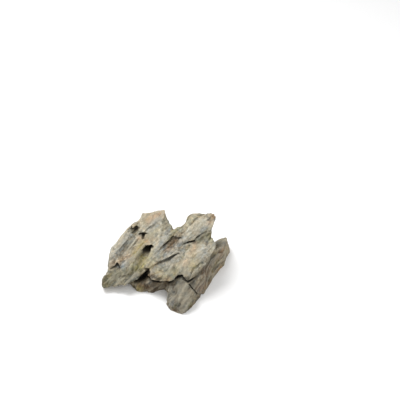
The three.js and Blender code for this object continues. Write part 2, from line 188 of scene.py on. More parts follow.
# Crevices: the face they are on, how far they creep across and up for each mm below the skin, how many
# times as wide they are on the right of their path, and a path through points (across, up, width,
# depth).
CREVICES = [
    ("front", (-0.5, 0.4), 2.2, [(-13, 10, 1.6, 0.8), (-6, 17, 2.6, 3), (1, 23, 3, 5),
                                 (8.5, 28.6, 3, 5.5)]),
    ("front", (-0.1, 0.7), 1.5, [(6, 28, 3, 5), (16.5, 28, 2, 3)]),
    ("front", (-0.3, 0.6), 2.2, [(-19, -7, 2, 1), (-9, -1, 2.6, 3), (3, 4.4, 2.6, 4.5),
                                 (8, 7.4, 2.4, 4), (14, 10.2, 1.8, 2)]),
    ("front", (0, 0.5), 1, [(-25, 17.4, 4, 9), (-20, 17.8, 4.8, 10), (-18, 17.4, 4.6, 9)]),
    ("front", (0.1, 0.4), 1, [(-29.5, 13, 3, 4), (-26, 15.5, 4.4, 9)]),
    ("front", (0, 0.5), 1, [(-43.5, 37.5, 1.8, 3), (-38, 41.4, 2.8, 5), (-35, 39.6, 1.8, 3)]),
    ("front", (0, 0.5), 1.3, [(-34.5, 32.2, 2.4, 3), (-30, 33, 3.4, 6), (-24.5, 33, 1.4, 3)]),
    ("front", (0, 0.6), 1.5, [(-68, -9, 1.4, 1), (-62, -6, 2.6, 4), (-60, -3, 3.6, 6),
                              (-57, -7.5, 2, 3)]),
    ("front", (0, 0.5), 1, [(-27, -8.6, 3, 1.6), (-21.5, -8.4, 3.4, 2.6)]),
    ("front", (0, 0.4), 1, [(-17, -21.4, 1.4, 3), (-10.5, -23.2, 2.8, 6), (-3, -23.6, 2.8, 7),
                            (4, -23.6, 2.6, 6), (8.5, -21.5, 1.6, 3)]),
    ("front", (0, 0.5), 1, [(10, -19.5, 2.6, 5), (14, -17, 3.4, 7), (18.5, -15, 2.6, 5)]),
    ("front", (0.2, 0.5), 1.5, [(20, -20, 2, 3), (25, -22.5, 2.6, 5), (30, -19.5, 2, 3),
                                (35, -16, 0.9, 0.8)]),
    ("front", (0.3, 0.2), 1.6, [(26.5, -25, 1.6, 3.5), (31, -31, 1.4, 3.5), (41, -43, 1.3, 3)]),
    ("front", (0, 0.5), 1.8, [(17, 17.6, 4, 1.2), (22, 21.8, 2.6, 3), (26, 23.6, 2.2, 6),
                              (32, 24.8, 2.2, 6)]),
    ("front", (-0.4, 0.4), 3, [(-60, 11, 1.4, 0.8), (-53, 19.5, 2, 2.4), (-46, 28, 1.6, 1.6)]),
    ("front", (0.4, -0.4), 0.6, [(-48, 12, 2, 0.8), (-41, 20.5, 2.8, 2.6), (-35, 27, 2.4, 1.8)]),
    ("front", (0, 0.4), 1, [(-55, -20, 4.5, 1.2), (-50.5, -18, 4.5, 1.5)]),
    ("front", (0.2, 0.3), 1, [(7, -38, 4, 1), (9, -35.5, 4, 1.3)]),
    ("front", (0.2, 0.1), 2, [(13.5, -26, 1.2, 0.6), (12, -31, 1.6, 1.6), (11.4, -37, 1.6, 1.6),
                              (13, -45, 1.2, 0.6)]),
    ("front", (0, 0.4), 1, [(-36, 3, 4, 1), (-30, 9, 5, 2)]),
    ("front", (-0.4, 0.4), 5, [(32, 24, 1.6, 1.6), (36, 29, 1.8, 2.4), (42, 33, 1.8, 2),
                               (50, 36.5, 1.4, 0.8)]),
    ("front", (0.4, -0.2), 2, [(-6, 52, 1, 0.5), (-4.5, 42, 1.4, 1.2), (-5, 33, 1, 0.5)]),
    ("front", (-0.4, 0.4), 2, [(1, 16, 1, 0.5), (5, 19.5, 1.4, 1.2), (9, 23, 1, 0.6)]),
    ("front", (-0.4, 0.4), 3, [(-28, 35, 1.2, 0.6), (-20, 41.5, 1.8, 1.4), (-10, 48.5, 1.4, 0.8)]),
]
# Random crevices of the other faces: how many, and between which places across and up.
SCATTERED = [
    {"face": "right", "count": 12, "seed": 3, "across": (-85, 25), "up": (-20, 25)},
    {"face": "back", "count": 30, "seed": 4, "across": (-65, 70), "up": (-20, 50)},
    {"face": "left", "count": 20, "seed": 5, "across": (-30, 45), "up": (-30, 20)},
]
# Their least and most sizes, how far they creep across the flutes, how many times as wide they are on
# their right, how far they stray and wave, and how far round to the front they may reach.
CREVICE_SIZES = {"length": (6, 24), "width": (1.4, 4), "depth": (1.2, 4.5), "creep": 0.5, "open": 2.5,
                 "stray": 0.25, "wave": 0.07, "facing": 0.05}
CREVICE_TAPER = ((0.5, 0.3), (1, 0.8), (1, 1))  # shares of the width and depth along them
# Random burrows: they widen inwards from a share of their radius, and keep clear of the floor and of
# the front.
BURROWS = {"count": 40, "seed": 7, "length": (4, 9), "radius": (0.6, 1.6), "depth": (1, 3),
           "stray": 0.35, "mouth": 0.8, "clear": 4, "facing": -0.1}

# How unevenly the hollows are worn: on the front, and elsewhere a share of their depth, up to a limit.
RAGGED = {"front": 1.2, "share": 0.5, "most": 4.5, "length": 7, "finer": 2.7, "apart": 30}
CREVICE_EDGE, BURROW_EDGE = 0.8, 0.6  # how far the edges of crevices and burrows are worn round
REACH = 2  # room round a crevice or a burrow within which it may still change the skin

STEP = 0.55  # spacing of the grid that the stone is carved on
QUICK_STEP = 1.1
COARSE = 3  # the carving starts on a grid this many times as wide
MARGIN = 7.8  # room left round the stone's box on the grid
OUTSIDE = 140  # farther out of any face than the stone reaches
FRONT_AREA = ((-110, -90), (110, 90))  # what is charted of the front face
FLOOR_AREA = ((-95, -85), (95, 85))  # what is charted of the floor
MARCH = 0.5  # steps in which the skin is looked for
WAVE = 5  # how far the skin may sink between two points of a crevice's path


# --- Carving helpers ----------------------------------------------------------------------------------

TINY = 1e-6
PART = 60_000  # how many points are worked on at once
THREADS = 4


def unit(vector):
    """The direction of a vector, with a length of 1."""
    return vector / np.linalg.norm(vector)


def face(azimuth, elevation):
    """A face's axes: right, up and out. Azimuth 0 is the front, and 90 the right-hand side."""
    turn, tilt = math.radians(azimuth), math.radians(elevation)
    right = (math.cos(turn), math.sin(turn), 0)
    up = (-math.sin(turn) * math.sin(tilt), math.cos(turn) * math.sin(tilt), math.cos(tilt))
    out = (math.sin(turn) * math.cos(tilt), -math.cos(turn) * math.cos(tilt), math.sin(tilt))
    return np.float32([right, up, out])


FACES = {"front": face(0, LEAN), "right": face(90, 24), "back": face(180, 24), "left": face(270, 24)}


def on_face(axes, points):
    """How far across, up and out of a face each point lies."""
    return ((points - ORIGIN) @ axes.T).T


def smooth_max(p, q, radius):
    """The larger of two fields, with the edge where they meet worn round."""
    h = np.maximum(radius - np.abs(p - q), 0) / radius
    return np.maximum(p, q) + h * h * radius / 4


def smooth_min(p, q, radius):
    """The smaller of two fields, with the corner where they meet filled."""
    return -smooth_max(-p, -q, radius)


def along_path(path, across, up):
    """The nearest point of a path: how far it is, how far to its left a point lies, from -1 to 1, and
    the path's other numbers there."""
    path = np.asarray(path, np.float32)
    best = np.full(across.shape, np.inf, np.float32)
    left = np.zeros(across.shape, np.float32)
    values = np.zeros((path.shape[1] - 2, *across.shape), np.float32)
    for start, end in zip(path[:-1], path[1:]):
        edge = end[:2] - start[:2]
        wx, wy = across - start[0], up - start[1]
        t = np.clip((wx * edge[0] + wy * edge[1]) / (edge @ edge), 0, 1)
        distance = np.hypot(wx - edge[0] * t, wy - edge[1] * t)
        side = (edge[0] * wy - edge[1] * wx) / (np.linalg.norm(edge) * np.maximum(distance, TINY))
        nearer = distance < best
        best[nearer] = distance[nearer]
        left[nearer] = side[nearer]
        for value, low, high in zip(values, start[2:], end[2:]):
            value[nearer] = (low + (high - low) * t)[nearer]
    return best, left, values


def turned(left):
    """Turns smoothly from 0 on the right of a path, where left is -1, to 1 on its left."""
    return (2 + 3 * left - left**3) / 4


def outline_distance(outline, x, y):
    """Signed distance to a closed outline, negative inside."""
    nearest = np.full(x.shape, np.inf)
    inside = np.zeros(x.shape, bool)
    corners = np.asarray(outline, float)
    for (xi, yi), (xj, yj) in zip(corners, np.roll(corners, 1, axis=0)):
        ex, ey = xj - xi, yj - yi
        wx, wy = x - xi, y - yi
        t = np.clip((wx * ex + wy * ey) / (ex * ex + ey * ey), 0, 1)
        nearest = np.minimum(nearest, np.hypot(wx - ex * t, wy - ey * t))
        if ey != 0:
            inside ^= ((yi > y) != (yj > y)) & (x < ex * (y - yi) / ey + xi)
    return np.where(inside, -nearest, nearest)


class Chart:
    """A height over a plane, worked out once on a grid and read between its places."""

    END = 1.001  # the last place that is read still has a neighbour

    def __init__(self, height, area, step=0.5):
        low, high = area
        self.low, self.step = low, step
        x = np.arange(low[0], high[0] + step, step, dtype=np.float32)
        y = np.arange(low[1], high[1] + step, step, dtype=np.float32)
        self.heights = height(*np.meshgrid(x, y, indexing="ij")).astype(np.float32)

    def __call__(self, x, y):
        places = []
        for value, low, count in zip((x, y), self.low, self.heights.shape):
            place = np.clip((value - low) / self.step, 0, count - self.END)
            places.append((place.astype(np.int32), place - np.floor(place)))
        (i, u), (j, v) = places
        near = self.heights[i, j] * (1 - u) + self.heights[i + 1, j] * u
        far = self.heights[i, j + 1] * (1 - u) + self.heights[i + 1, j + 1] * u
        return near * (1 - v) + far * v


# How values are scattered over the lattice of the noise.
SCATTER = {"steps": (127.1, 311.7, 74.7), "size": 43758.5453}


def noise(points):
    """Smooth noise from 0 to 1 that belongs to each place."""
    floor = np.floor(points).astype(np.int32)
    low = floor.min(axis=0)
    sizes = floor.max(axis=0) - low + 2
    whole = [np.arange(start, start + size) for start, size in zip(low, sizes)]
    total = sum(axis * step for axis, step in zip(np.meshgrid(*whole, indexing="ij"), SCATTER["steps"]))
    scattered = np.sin(total) * SCATTER["size"]
    table = (scattered - np.floor(scattered)).ravel().astype(np.float32)
    part = points - floor.astype(np.float32)
    u, v, w = (part * part * (3 - 2 * part)).T
    cell = floor - low
    first = (cell[:, 0] * sizes[1] + cell[:, 1]) * sizes[2] + cell[:, 2]

    def row(b, c):
        near = table[first + b * sizes[2] + c]
        far = table[first + (sizes[1] + b) * sizes[2] + c]
        return near + (far - near) * u

    front = row(0, 0) + (row(1, 0) - row(0, 0)) * v
    back = row(0, 1) + (row(1, 1) - row(0, 1)) * v
    return front + (back - front) * w


def bent(points, bend):
    """The places that bent points are measured from: coarse noise, and finer noise of half its size."""
    shift = np.empty_like(points)
    for axis in range(3):
        place = points / bend["length"] + bend["apart"] * axis
        shift[:, axis] = noise(place) - 0.5 + (noise(2 * place) - 0.5) / 2
    return points + bend["size"] * shift


FLUTE_UP = unit(FLUTE_WAY)
FLUTE_SIDE = unit(np.cross((0, 0, 1), FLUTE_UP))
FLUTE_AXES = np.float32([FLUTE_UP, FLUTE_SIDE, np.cross(FLUTE_UP, FLUTE_SIDE)])


def flutes(points, across, along):
    """Flutes with sharp crests, from 0 in their beds to 1 on their crests."""
    return 1 - np.abs(2 * noise(points @ FLUTE_AXES.T / np.float32((along, across, across))) - 1)


# --- The stone's masses -------------------------------------------------------------------------------

def over_plane(plane, points):
    """How far above a sloping plane each point lies."""
    height, right, back = plane
    above = points[:, 2] - height - right * points[:, 0] - back * points[:, 1]
    return above / math.hypot(1, right, back)


def right_of(line, across, up):
    """How far to the right of a line each place lies, looking from its second point to its first."""
    (x0, y0), (x1, y1) = line
    return ((across - x0) * (y0 - y1) + (up - y0) * (x1 - x0)) / math.hypot(x1 - x0, y1 - y0)


def rib_rise(ribs, across, up):
    """How far a list of ribs raises the front face."""
    total = np.zeros(across.shape)
    for left_flank, right_flank, crest in ribs:
        distance, left, (rise,) = along_path(crest, across, up)
        off = np.hypot(distance, CREST) - CREST
        flank = right_flank + (left_flank - right_flank) * turned(left)
        total += np.where(off < FLANK * flank, rise * np.exp(-off / flank), 0)
    return total


LIFT = Chart(lambda across, up: rib_rise(RIBS, across, up), FRONT_AREA)
LEDGE_LIFT = Chart(lambda across, up: rib_rise(LEDGES, across, up), FRONT_AREA, step=0.4)
UPPER_EDGE = Chart(lambda across, up: outline_distance(UPPER_OUTLINE, across, up), FRONT_AREA)
LOWER_EDGE = Chart(lambda x, y: outline_distance(FOOTPRINT, x, y), FLOOR_AREA)


def bed_top(points):
    """How far above the bedding top each point lies."""
    return over_plane(BED, bent(points, BEND))


def layers(points):
    """The upper and the lower layer of the stone, before its flutes and hollows."""
    place = bent(points, BEND)
    across, up, _ = on_face(FACES["front"], points)
    raised = LIFT(across, up)
    top = over_plane(BED, place) - raised
    worn = WEAR["size"] * noise(points / WEAR["length"]) * np.clip(-top / WEAR["depth"], 0, 1)
    upper = smooth_max(top, UPPER_EDGE(across, up) + worn, CORNER)
    upper = smooth_max(upper, -over_plane(SHELF_FLOOR, place), CORNER)
    behind = place[:, 1] + BACK_WALL["lean"] * points[:, 2] - BACK_WALL["depth"]
    upper = smooth_max(upper, behind, 2 * CORNER)
    lower = LOWER_EDGE(points[:, 0], points[:, 1]) + LOWER_DRAFT * points[:, 2] + worn / 2
    lower = smooth_max(lower, top, CORNER)
    lower = smooth_max(lower, over_plane(TOE_SLOPE, place) - raised, CORNER)
    lower = smooth_max(lower, over_plane(SHOULDER_SLOPE, place), CORNER)
    facet = smooth_min(over_plane(WALL_FACET, place), right_of(CRACK, across, up), CORNER)
    lower = smooth_max(lower, facet, CORNER)
    cleft = np.minimum(over_plane(CLEFT_FLOOR, place), points[:, 0] - CLEFT_LEFT)
    lower = smooth_max(lower, cleft, CORNER)
    return upper, lower, place


def body(points):
    """The field of the masses, with their flutes."""
    upper, lower, place = layers(points)
    ridged = FLUTES["height"] * (0.5 - flutes(place, FLUTES["across"], FLUTES["along"]))
    return smooth_min(upper, lower, CORNER) + ridged


# --- Hollows ------------------------------------------------------------------------------------------

def skin_out(solid, axes, across, up):
    """How far out of a face a solid's skin lies at each place on it."""
    far = np.arange(OUTSIDE, -OUTSIDE, -MARCH)
    rays = ORIGIN + np.stack(
        [across[:, None] + 0 * far, up[:, None] + 0 * far, 0 * across[:, None] + far], axis=-1) @ axes
    inside = (in_parts(solid, rays.reshape(-1, 3)) <= 0).reshape(rays.shape[:2])
    return far[np.argmax(inside, axis=1)]


def laid_hollows():
    """Every hollow, with the skin that it is sunk from and how unevenly it is worn. The front's hollows
    are sunk from the bedding top."""
    laid = []
    for name, under, path in HOLLOWS:
        path = np.asarray(path, np.float32)
        solid = bed_top if name == "front" else body
        skin = skin_out(solid, FACES[name], path[:, 0], path[:, 1])
        path = np.column_stack([path[:, :2], path[:, 2] / 2, path[:, 3], skin])
        uneven = RAGGED["front"]
        if name != "front":
            uneven = min(RAGGED["most"], RAGGED["share"] * path[:, 3].max())
        laid.append((FACES[name], under, path, uneven))
    return laid


def hollow_distance(hollow, points):
    """Signed distance to a hollow, negative in it. Far from it, only a rough positive distance."""
    axes, under, path, _ = hollow
    across, up, far = on_face(axes, points)
    skin = path[:, 4].mean()
    guess = np.maximum(0, skin - far)
    _, _, (_, _, skin_there) = along_path(path, across - under[0] * guess, up - under[1] * guess)
    down = skin_there - far
    creep = np.maximum(0, down)
    near, _, (reach, depth, _) = along_path(path, across - under[0] * creep, up - under[1] * creep)
    sunk = np.where(down > 0, down / depth, down / (RISE * depth))
    return (np.hypot(near / reach, sunk) - 1) * np.minimum(reach, depth)


# --- Fine surface -------------------------------------------------------------------------------------

def random_crevices():
    """Crevices that run along the flutes, strewn over the faces that the named ones leave bare."""
    strewn = []
    for spot in SCATTERED:
        rng = np.random.default_rng(spot["seed"])
        run = unit((FACES[spot["face"]] @ FLUTE_UP)[:2])
        for _ in range(spot["count"]):
            start = np.array([rng.uniform(*spot["across"]), rng.uniform(*spot["up"])])
            length, width, depth = (
                rng.uniform(*CREVICE_SIZES[key]) for key in ("length", "width", "depth"))
            end = start + unit(run + CREVICE_SIZES["stray"] * rng.normal(size=2)) * length
            middle = (start + end) / 2 + CREVICE_SIZES["wave"] * rng.normal(size=2) * length
            path = [(*place, width * wide, depth * deep)
                    for place, (wide, deep) in zip((start, middle, end), CREVICE_TAPER)]
            creep = CREVICE_SIZES["creep"] * np.array([-run[1], run[0]])
            if facing_front(FACES[spot["face"]], path) < CREVICE_SIZES["facing"]:
                strewn.append((spot["face"], creep, CREVICE_SIZES["open"], path))
    return strewn


def facing_front(axes, path):
    """How squarely the skin along a path on a face looks to the front at most, from -1 to 1."""
    across, up = np.array(path, np.float32)[:, :2].T
    skin = skin_out(body, axes, across, up)
    places = ORIGIN + np.column_stack([across, up, skin]) @ axes
    ahead, behind = (
        body((places[:, None] + move * np.eye(3)).reshape(-1, 3).astype(np.float32)).reshape(-1, 3)
        for move in (1, -1))
    slope = ahead - behind + TINY
    return (slope @ FACES["front"][2] / np.linalg.norm(slope, axis=1)).max()


def laid_crevices():
    """Every crevice, with the skin that it is cut from."""
    laid = []
    for name, under, wider, path in CREVICES + random_crevices():
        path = np.asarray(path, np.float32)
        skin = skin_out(body, FACES[name], path[:, 0], path[:, 1])
        path = np.column_stack([path[:, :2], path[:, 2] / 2, path[:, 3], skin])
        laid.append((FACES[name], under, wider, path))
    return laid


def near_crevice(crevice, points):
    """The points that a crevice might reach."""
    axes, _, wider, path = crevice
    room = path[:, 2].max() * wider + path[:, 3].max() + REACH
    low, high = path.min(axis=0) - room, path.max(axis=0) + room
    across, up, far = on_face(axes, points)
    near = (across > low[0]) & (across < high[0]) & (up > low[1]) & (up < high[1])
    return np.flatnonzero(near & (far > low[4]) & (far < high[4]))


def crevice_distance(crevice, points, inside):
    """Signed distance to a crevice that follows the skin, whose own field is given."""
    axes, under, wider, path = crevice
    across, up, far = on_face(axes, points)
    below = np.maximum(-inside, path[:, 4].mean() - far - WAVE)
    down = np.maximum(0, below)
    near, left, (reach, depth, skin) = along_path(path, across - under[0] * down, up - under[1] * down)
    reach = reach * (wider + (1 - wider) * turned(left))
    down = np.maximum(-inside, skin - far - WAVE)
    sunk = np.where(down > 0, down / depth, -down / (RISE * depth))
    return (np.hypot(near / reach, sunk) - 1) * np.minimum(reach, depth)


def shingles(points):
    """Broken layers: each rises slowly across the flutes and ends in a step."""
    place = points @ FLUTE_AXES.T
    wander = noise(place / SHINGLES["length"] + SHINGLES["apart"])
    turn = (place[:, 1] * SHINGLES["across"] + place[:, 2] * SHINGLES["over"]) / SHINGLES["spacing"]
    turn += SHINGLES["wander"] * wander
    part = turn - np.floor(turn)
    rise = np.minimum(part / SHINGLES["climb"], (1 - part) / (1 - SHINGLES["climb"]))
    low, high = SHINGLED["range"]
    strength = (noise(place / SHINGLED["length"] + SHINGLED["apart"]) - low) / (high - low)
    return SHINGLES["height"] * np.clip(strength, 0, 1) * (rise - 0.5)


def fine_relief(points):
    """How far the fine surface rises over the masses."""
    place = bent(points, FINE_BEND)
    across, up, _ = on_face(FACES["front"], points)
    total = shingles(place) + LEDGE_LIFT(across, up) - INSET
    for height, width, length in FINE_FLUTES:
        total += height * (flutes(place, width, length) - 0.5)
    return total


def raggedness(points):
    """Noise about zero, with finer noise on it, that is added to what is worn out of the stone."""
    place = points / RAGGED["length"]
    return noise(place) - 0.5 + (noise(place * RAGGED["finer"] + RAGGED["apart"]) - 0.5) / 2


def in_parts(function, points):
    """The values of a function of points, worked out in parts side by side."""
    parts = np.array_split(np.asarray(points, np.float32), len(points) // PART + 1)
    with ThreadPoolExecutor(THREADS) as pool:
        return np.concatenate(list(pool.map(function, parts)))


class Grid:
    """The places that the stone is carved at."""

    def __init__(self, step):
        low, high = (np.array(corner) / MM + MIDDLE for corner in CAD_BOX)
        self.step = step
        wide = step * COARSE
        self.low = np.floor((low - MARGIN) / wide) * wide
        self.blocks = np.ceil((high + MARGIN - self.low) / wide).astype(int)

    def places(self, cells, step):
        """Where the low corners of cells lie."""
        return (self.low + cells * step).astype(np.float32)

    def coarse_cells(self):
        """Every cell of the coarse grid."""
        cells = np.meshgrid(*map(np.arange, self.blocks), indexing="ij")
        return np.stack(cells, axis=-1).reshape(-1, 3)


def refined(blocks):
    """What each block of a coarse grid says, for every cell in it."""
    for axis in range(3):
        blocks = np.repeat(blocks, COARSE, axis=axis)
    return blocks


def spread(mask):
    """A mask with the neighbours of every marked place marked too."""
    for axis in range(3):
        wider = mask.copy()
        ahead = [slice(None)] * 3
        behind = [slice(None)] * 3
        ahead[axis], behind[axis] = slice(1, None), slice(None, -1)
        wider[tuple(ahead)] |= mask[tuple(behind)]
        wider[tuple(behind)] |= mask[tuple(ahead)]
        mask = wider
    return mask


def scattered_burrows(places, values, step):
    """Small pits on every side but the front, each a trough that dives in along the flutes."""
    rng = np.random.default_rng(BURROWS["seed"])
    slope = np.stack(np.gradient(values, step), axis=-1)
    facing = slope @ FACES["front"][2] / (np.linalg.norm(slope, axis=-1) + TINY)
    clear = places[..., 2] > BURROWS["clear"]
    skin = np.argwhere((np.abs(values) < step / 2) & clear & (facing < BURROWS["facing"]))
    burrows = []
    for i, j, k in skin[rng.choice(len(skin), BURROWS["count"], replace=False)]:
        out = unit(slope[i, j, k] + TINY)
        run = FLUTE_UP - out * (FLUTE_UP @ out)
        length, radius, depth = (rng.uniform(*BURROWS[key]) for key in ("length", "radius", "depth"))
        run = unit(run + BURROWS["stray"] * rng.normal(size=3)) * length
        start = places[i, j, k] - values[i, j, k] * out - run / 2 + out * radius
        end = start + run - out * (depth + radius)
        burrows.append((start, end, radius * BURROWS["mouth"], radius))
    return burrows


def burrow_distance(burrow, points):
    """Signed distance to a burrow, negative in it."""
    start, end, thin, thick = burrow
    way = end - start
    t = np.clip((points - start) @ way / (way @ way), 0, 1)
    return np.linalg.norm(points - start - t[:, None] * way, axis=1) - thin - (thick - thin) * t


def near_burrow(burrow, points):
    """The points that a burrow might reach."""
    start, end, _, thick = burrow
    low, high = np.minimum(start, end) - thick - REACH, np.maximum(start, end) + thick + REACH
    return np.flatnonzero(((points > low) & (points < high)).all(axis=1))


def carved(points, hollows, crevices, burrows):
    """The finished field at each point."""
    inside = body(points) - fine_relief(points)
    skin = inside.copy()
    uneven = raggedness(points)
    for crevice in crevices:
        near = near_crevice(crevice, points)
        cut = crevice_distance(crevice, points[near], skin[near]) + uneven[near]
        inside[near] = smooth_max(inside[near], -cut, CREVICE_EDGE)
    for hollow in hollows:
        cut = hollow_distance(hollow, points) + uneven * hollow[3]
        inside = smooth_max(inside, -cut, CREST)
    for burrow in burrows:
        near = near_burrow(burrow, points)
        inside[near] = smooth_max(inside[near], -burrow_distance(burrow, points[near]), BURROW_EDGE)
    return np.maximum(inside, -points[:, 2])


def rough_field(points, hollows):
    """The field without its fine surface, which tells where the skin roughly lies."""
    inside = body(points)
    for hollow in hollows:
        inside = smooth_max(inside, -hollow_distance(hollow, points), CREST)
    return np.maximum(inside, -points[:, 2])


def net(step):
    """Vertices and faces of the carved stone, in the carving's own frame."""
    hollows = laid_hollows()
    grid = Grid(step)
    wide = step * COARSE
    cells = grid.coarse_cells()
    centres = grid.places(cells, wide) + (wide - step) / 2
    values = in_parts(lambda points: rough_field(points, hollows), centres).reshape(grid.blocks)
    crevices = laid_crevices()
    burrows = scattered_burrows(centres.reshape(*grid.blocks, 3), values, wide)
    solid = values < 0
    near = spread(spread(spread(solid) & spread(~solid)))
    fine = refined(np.where(solid, -wide, wide).astype(np.float32))
    mask = refined(near)
    chosen = np.argwhere(mask)
    points = grid.places(chosen, step)
    fine[mask] = in_parts(lambda points: carved(points, hollows, crevices, burrows), points)
    volume = openvdb.FloatGrid(float(wide))
    volume.copyFromArray(fine)
    vertices, quads = volume.convertToQuads(isovalue=0.0)
    return vertices * step + grid.low, quads


def biggest_piece(vertices, quads):
    """The stone without the crumbs that its crevices cut free."""
    label = np.arange(len(vertices))
    ends = quads[:, [0, 1, 1, 2, 2, 3]].reshape(-1, 2)
    while True:
        lowest = label[ends].min(axis=1)
        joined = label.copy()
        for end in ends.T:
            np.minimum.at(joined, end, lowest)
        joined = joined[joined]
        if (joined == label).all():
            break
        label = joined
    kept = label == np.bincount(label).argmax()
    number = np.cumsum(kept) - 1
    return vertices[kept], number[quads[kept[quads[:, 0]]]]


def skin_mesh(vertices, quads, triangles):
    """A smooth mesh in the model's own frame, with no more than a given number of triangles."""
    mesh = bpy.data.meshes.new("stone_skin")
    mesh.from_pydata(((vertices - MIDDLE) * MM).tolist(), [], quads.tolist())
    if volume_of(mesh) < 0:
        mesh.flip_normals()
    stone = bpy.data.objects.new("stone_skin", mesh)
    bpy.context.scene.collection.objects.link(stone)
    if 2 * len(quads) > triangles:
        thin = stone.modifiers.new("Thin", "DECIMATE")
        thin.ratio = triangles / (2 * len(quads))
    finished = baked(stone)
    finished.shade_smooth()
    bpy.data.objects.remove(stone)
    return finished


def volume_of(mesh):
    """Volume inside a mesh, negative where it is inside out."""
    mesh.calc_loop_triangles()
    places = vertex_vectors(mesh, "co")
    index = np.zeros(3 * len(mesh.loop_triangles), np.int32)
    mesh.loop_triangles.foreach_get("vertices", index)
    a, b, c = places[index.reshape(-1, 3)].transpose(1, 0, 2)
    return (a * np.cross(b, c)).sum() / 6


def vertex_vectors(mesh, name):
    """A named vector of every vertex, such as its place or its normal."""
    values = np.zeros(3 * len(mesh.vertices), np.float32)
    mesh.vertices.foreach_get(name, values)
    return values.reshape(-1, 3)


def baked(thing):
    """A plain mesh of what an object's modifiers make of it."""
    bpy.context.view_layer.update()
    evaluated = thing.evaluated_get(bpy.context.evaluated_depsgraph_get())
    return bpy.data.meshes.new_from_object(evaluated)


# --- What the material reads --------------------------------------------------------------------------

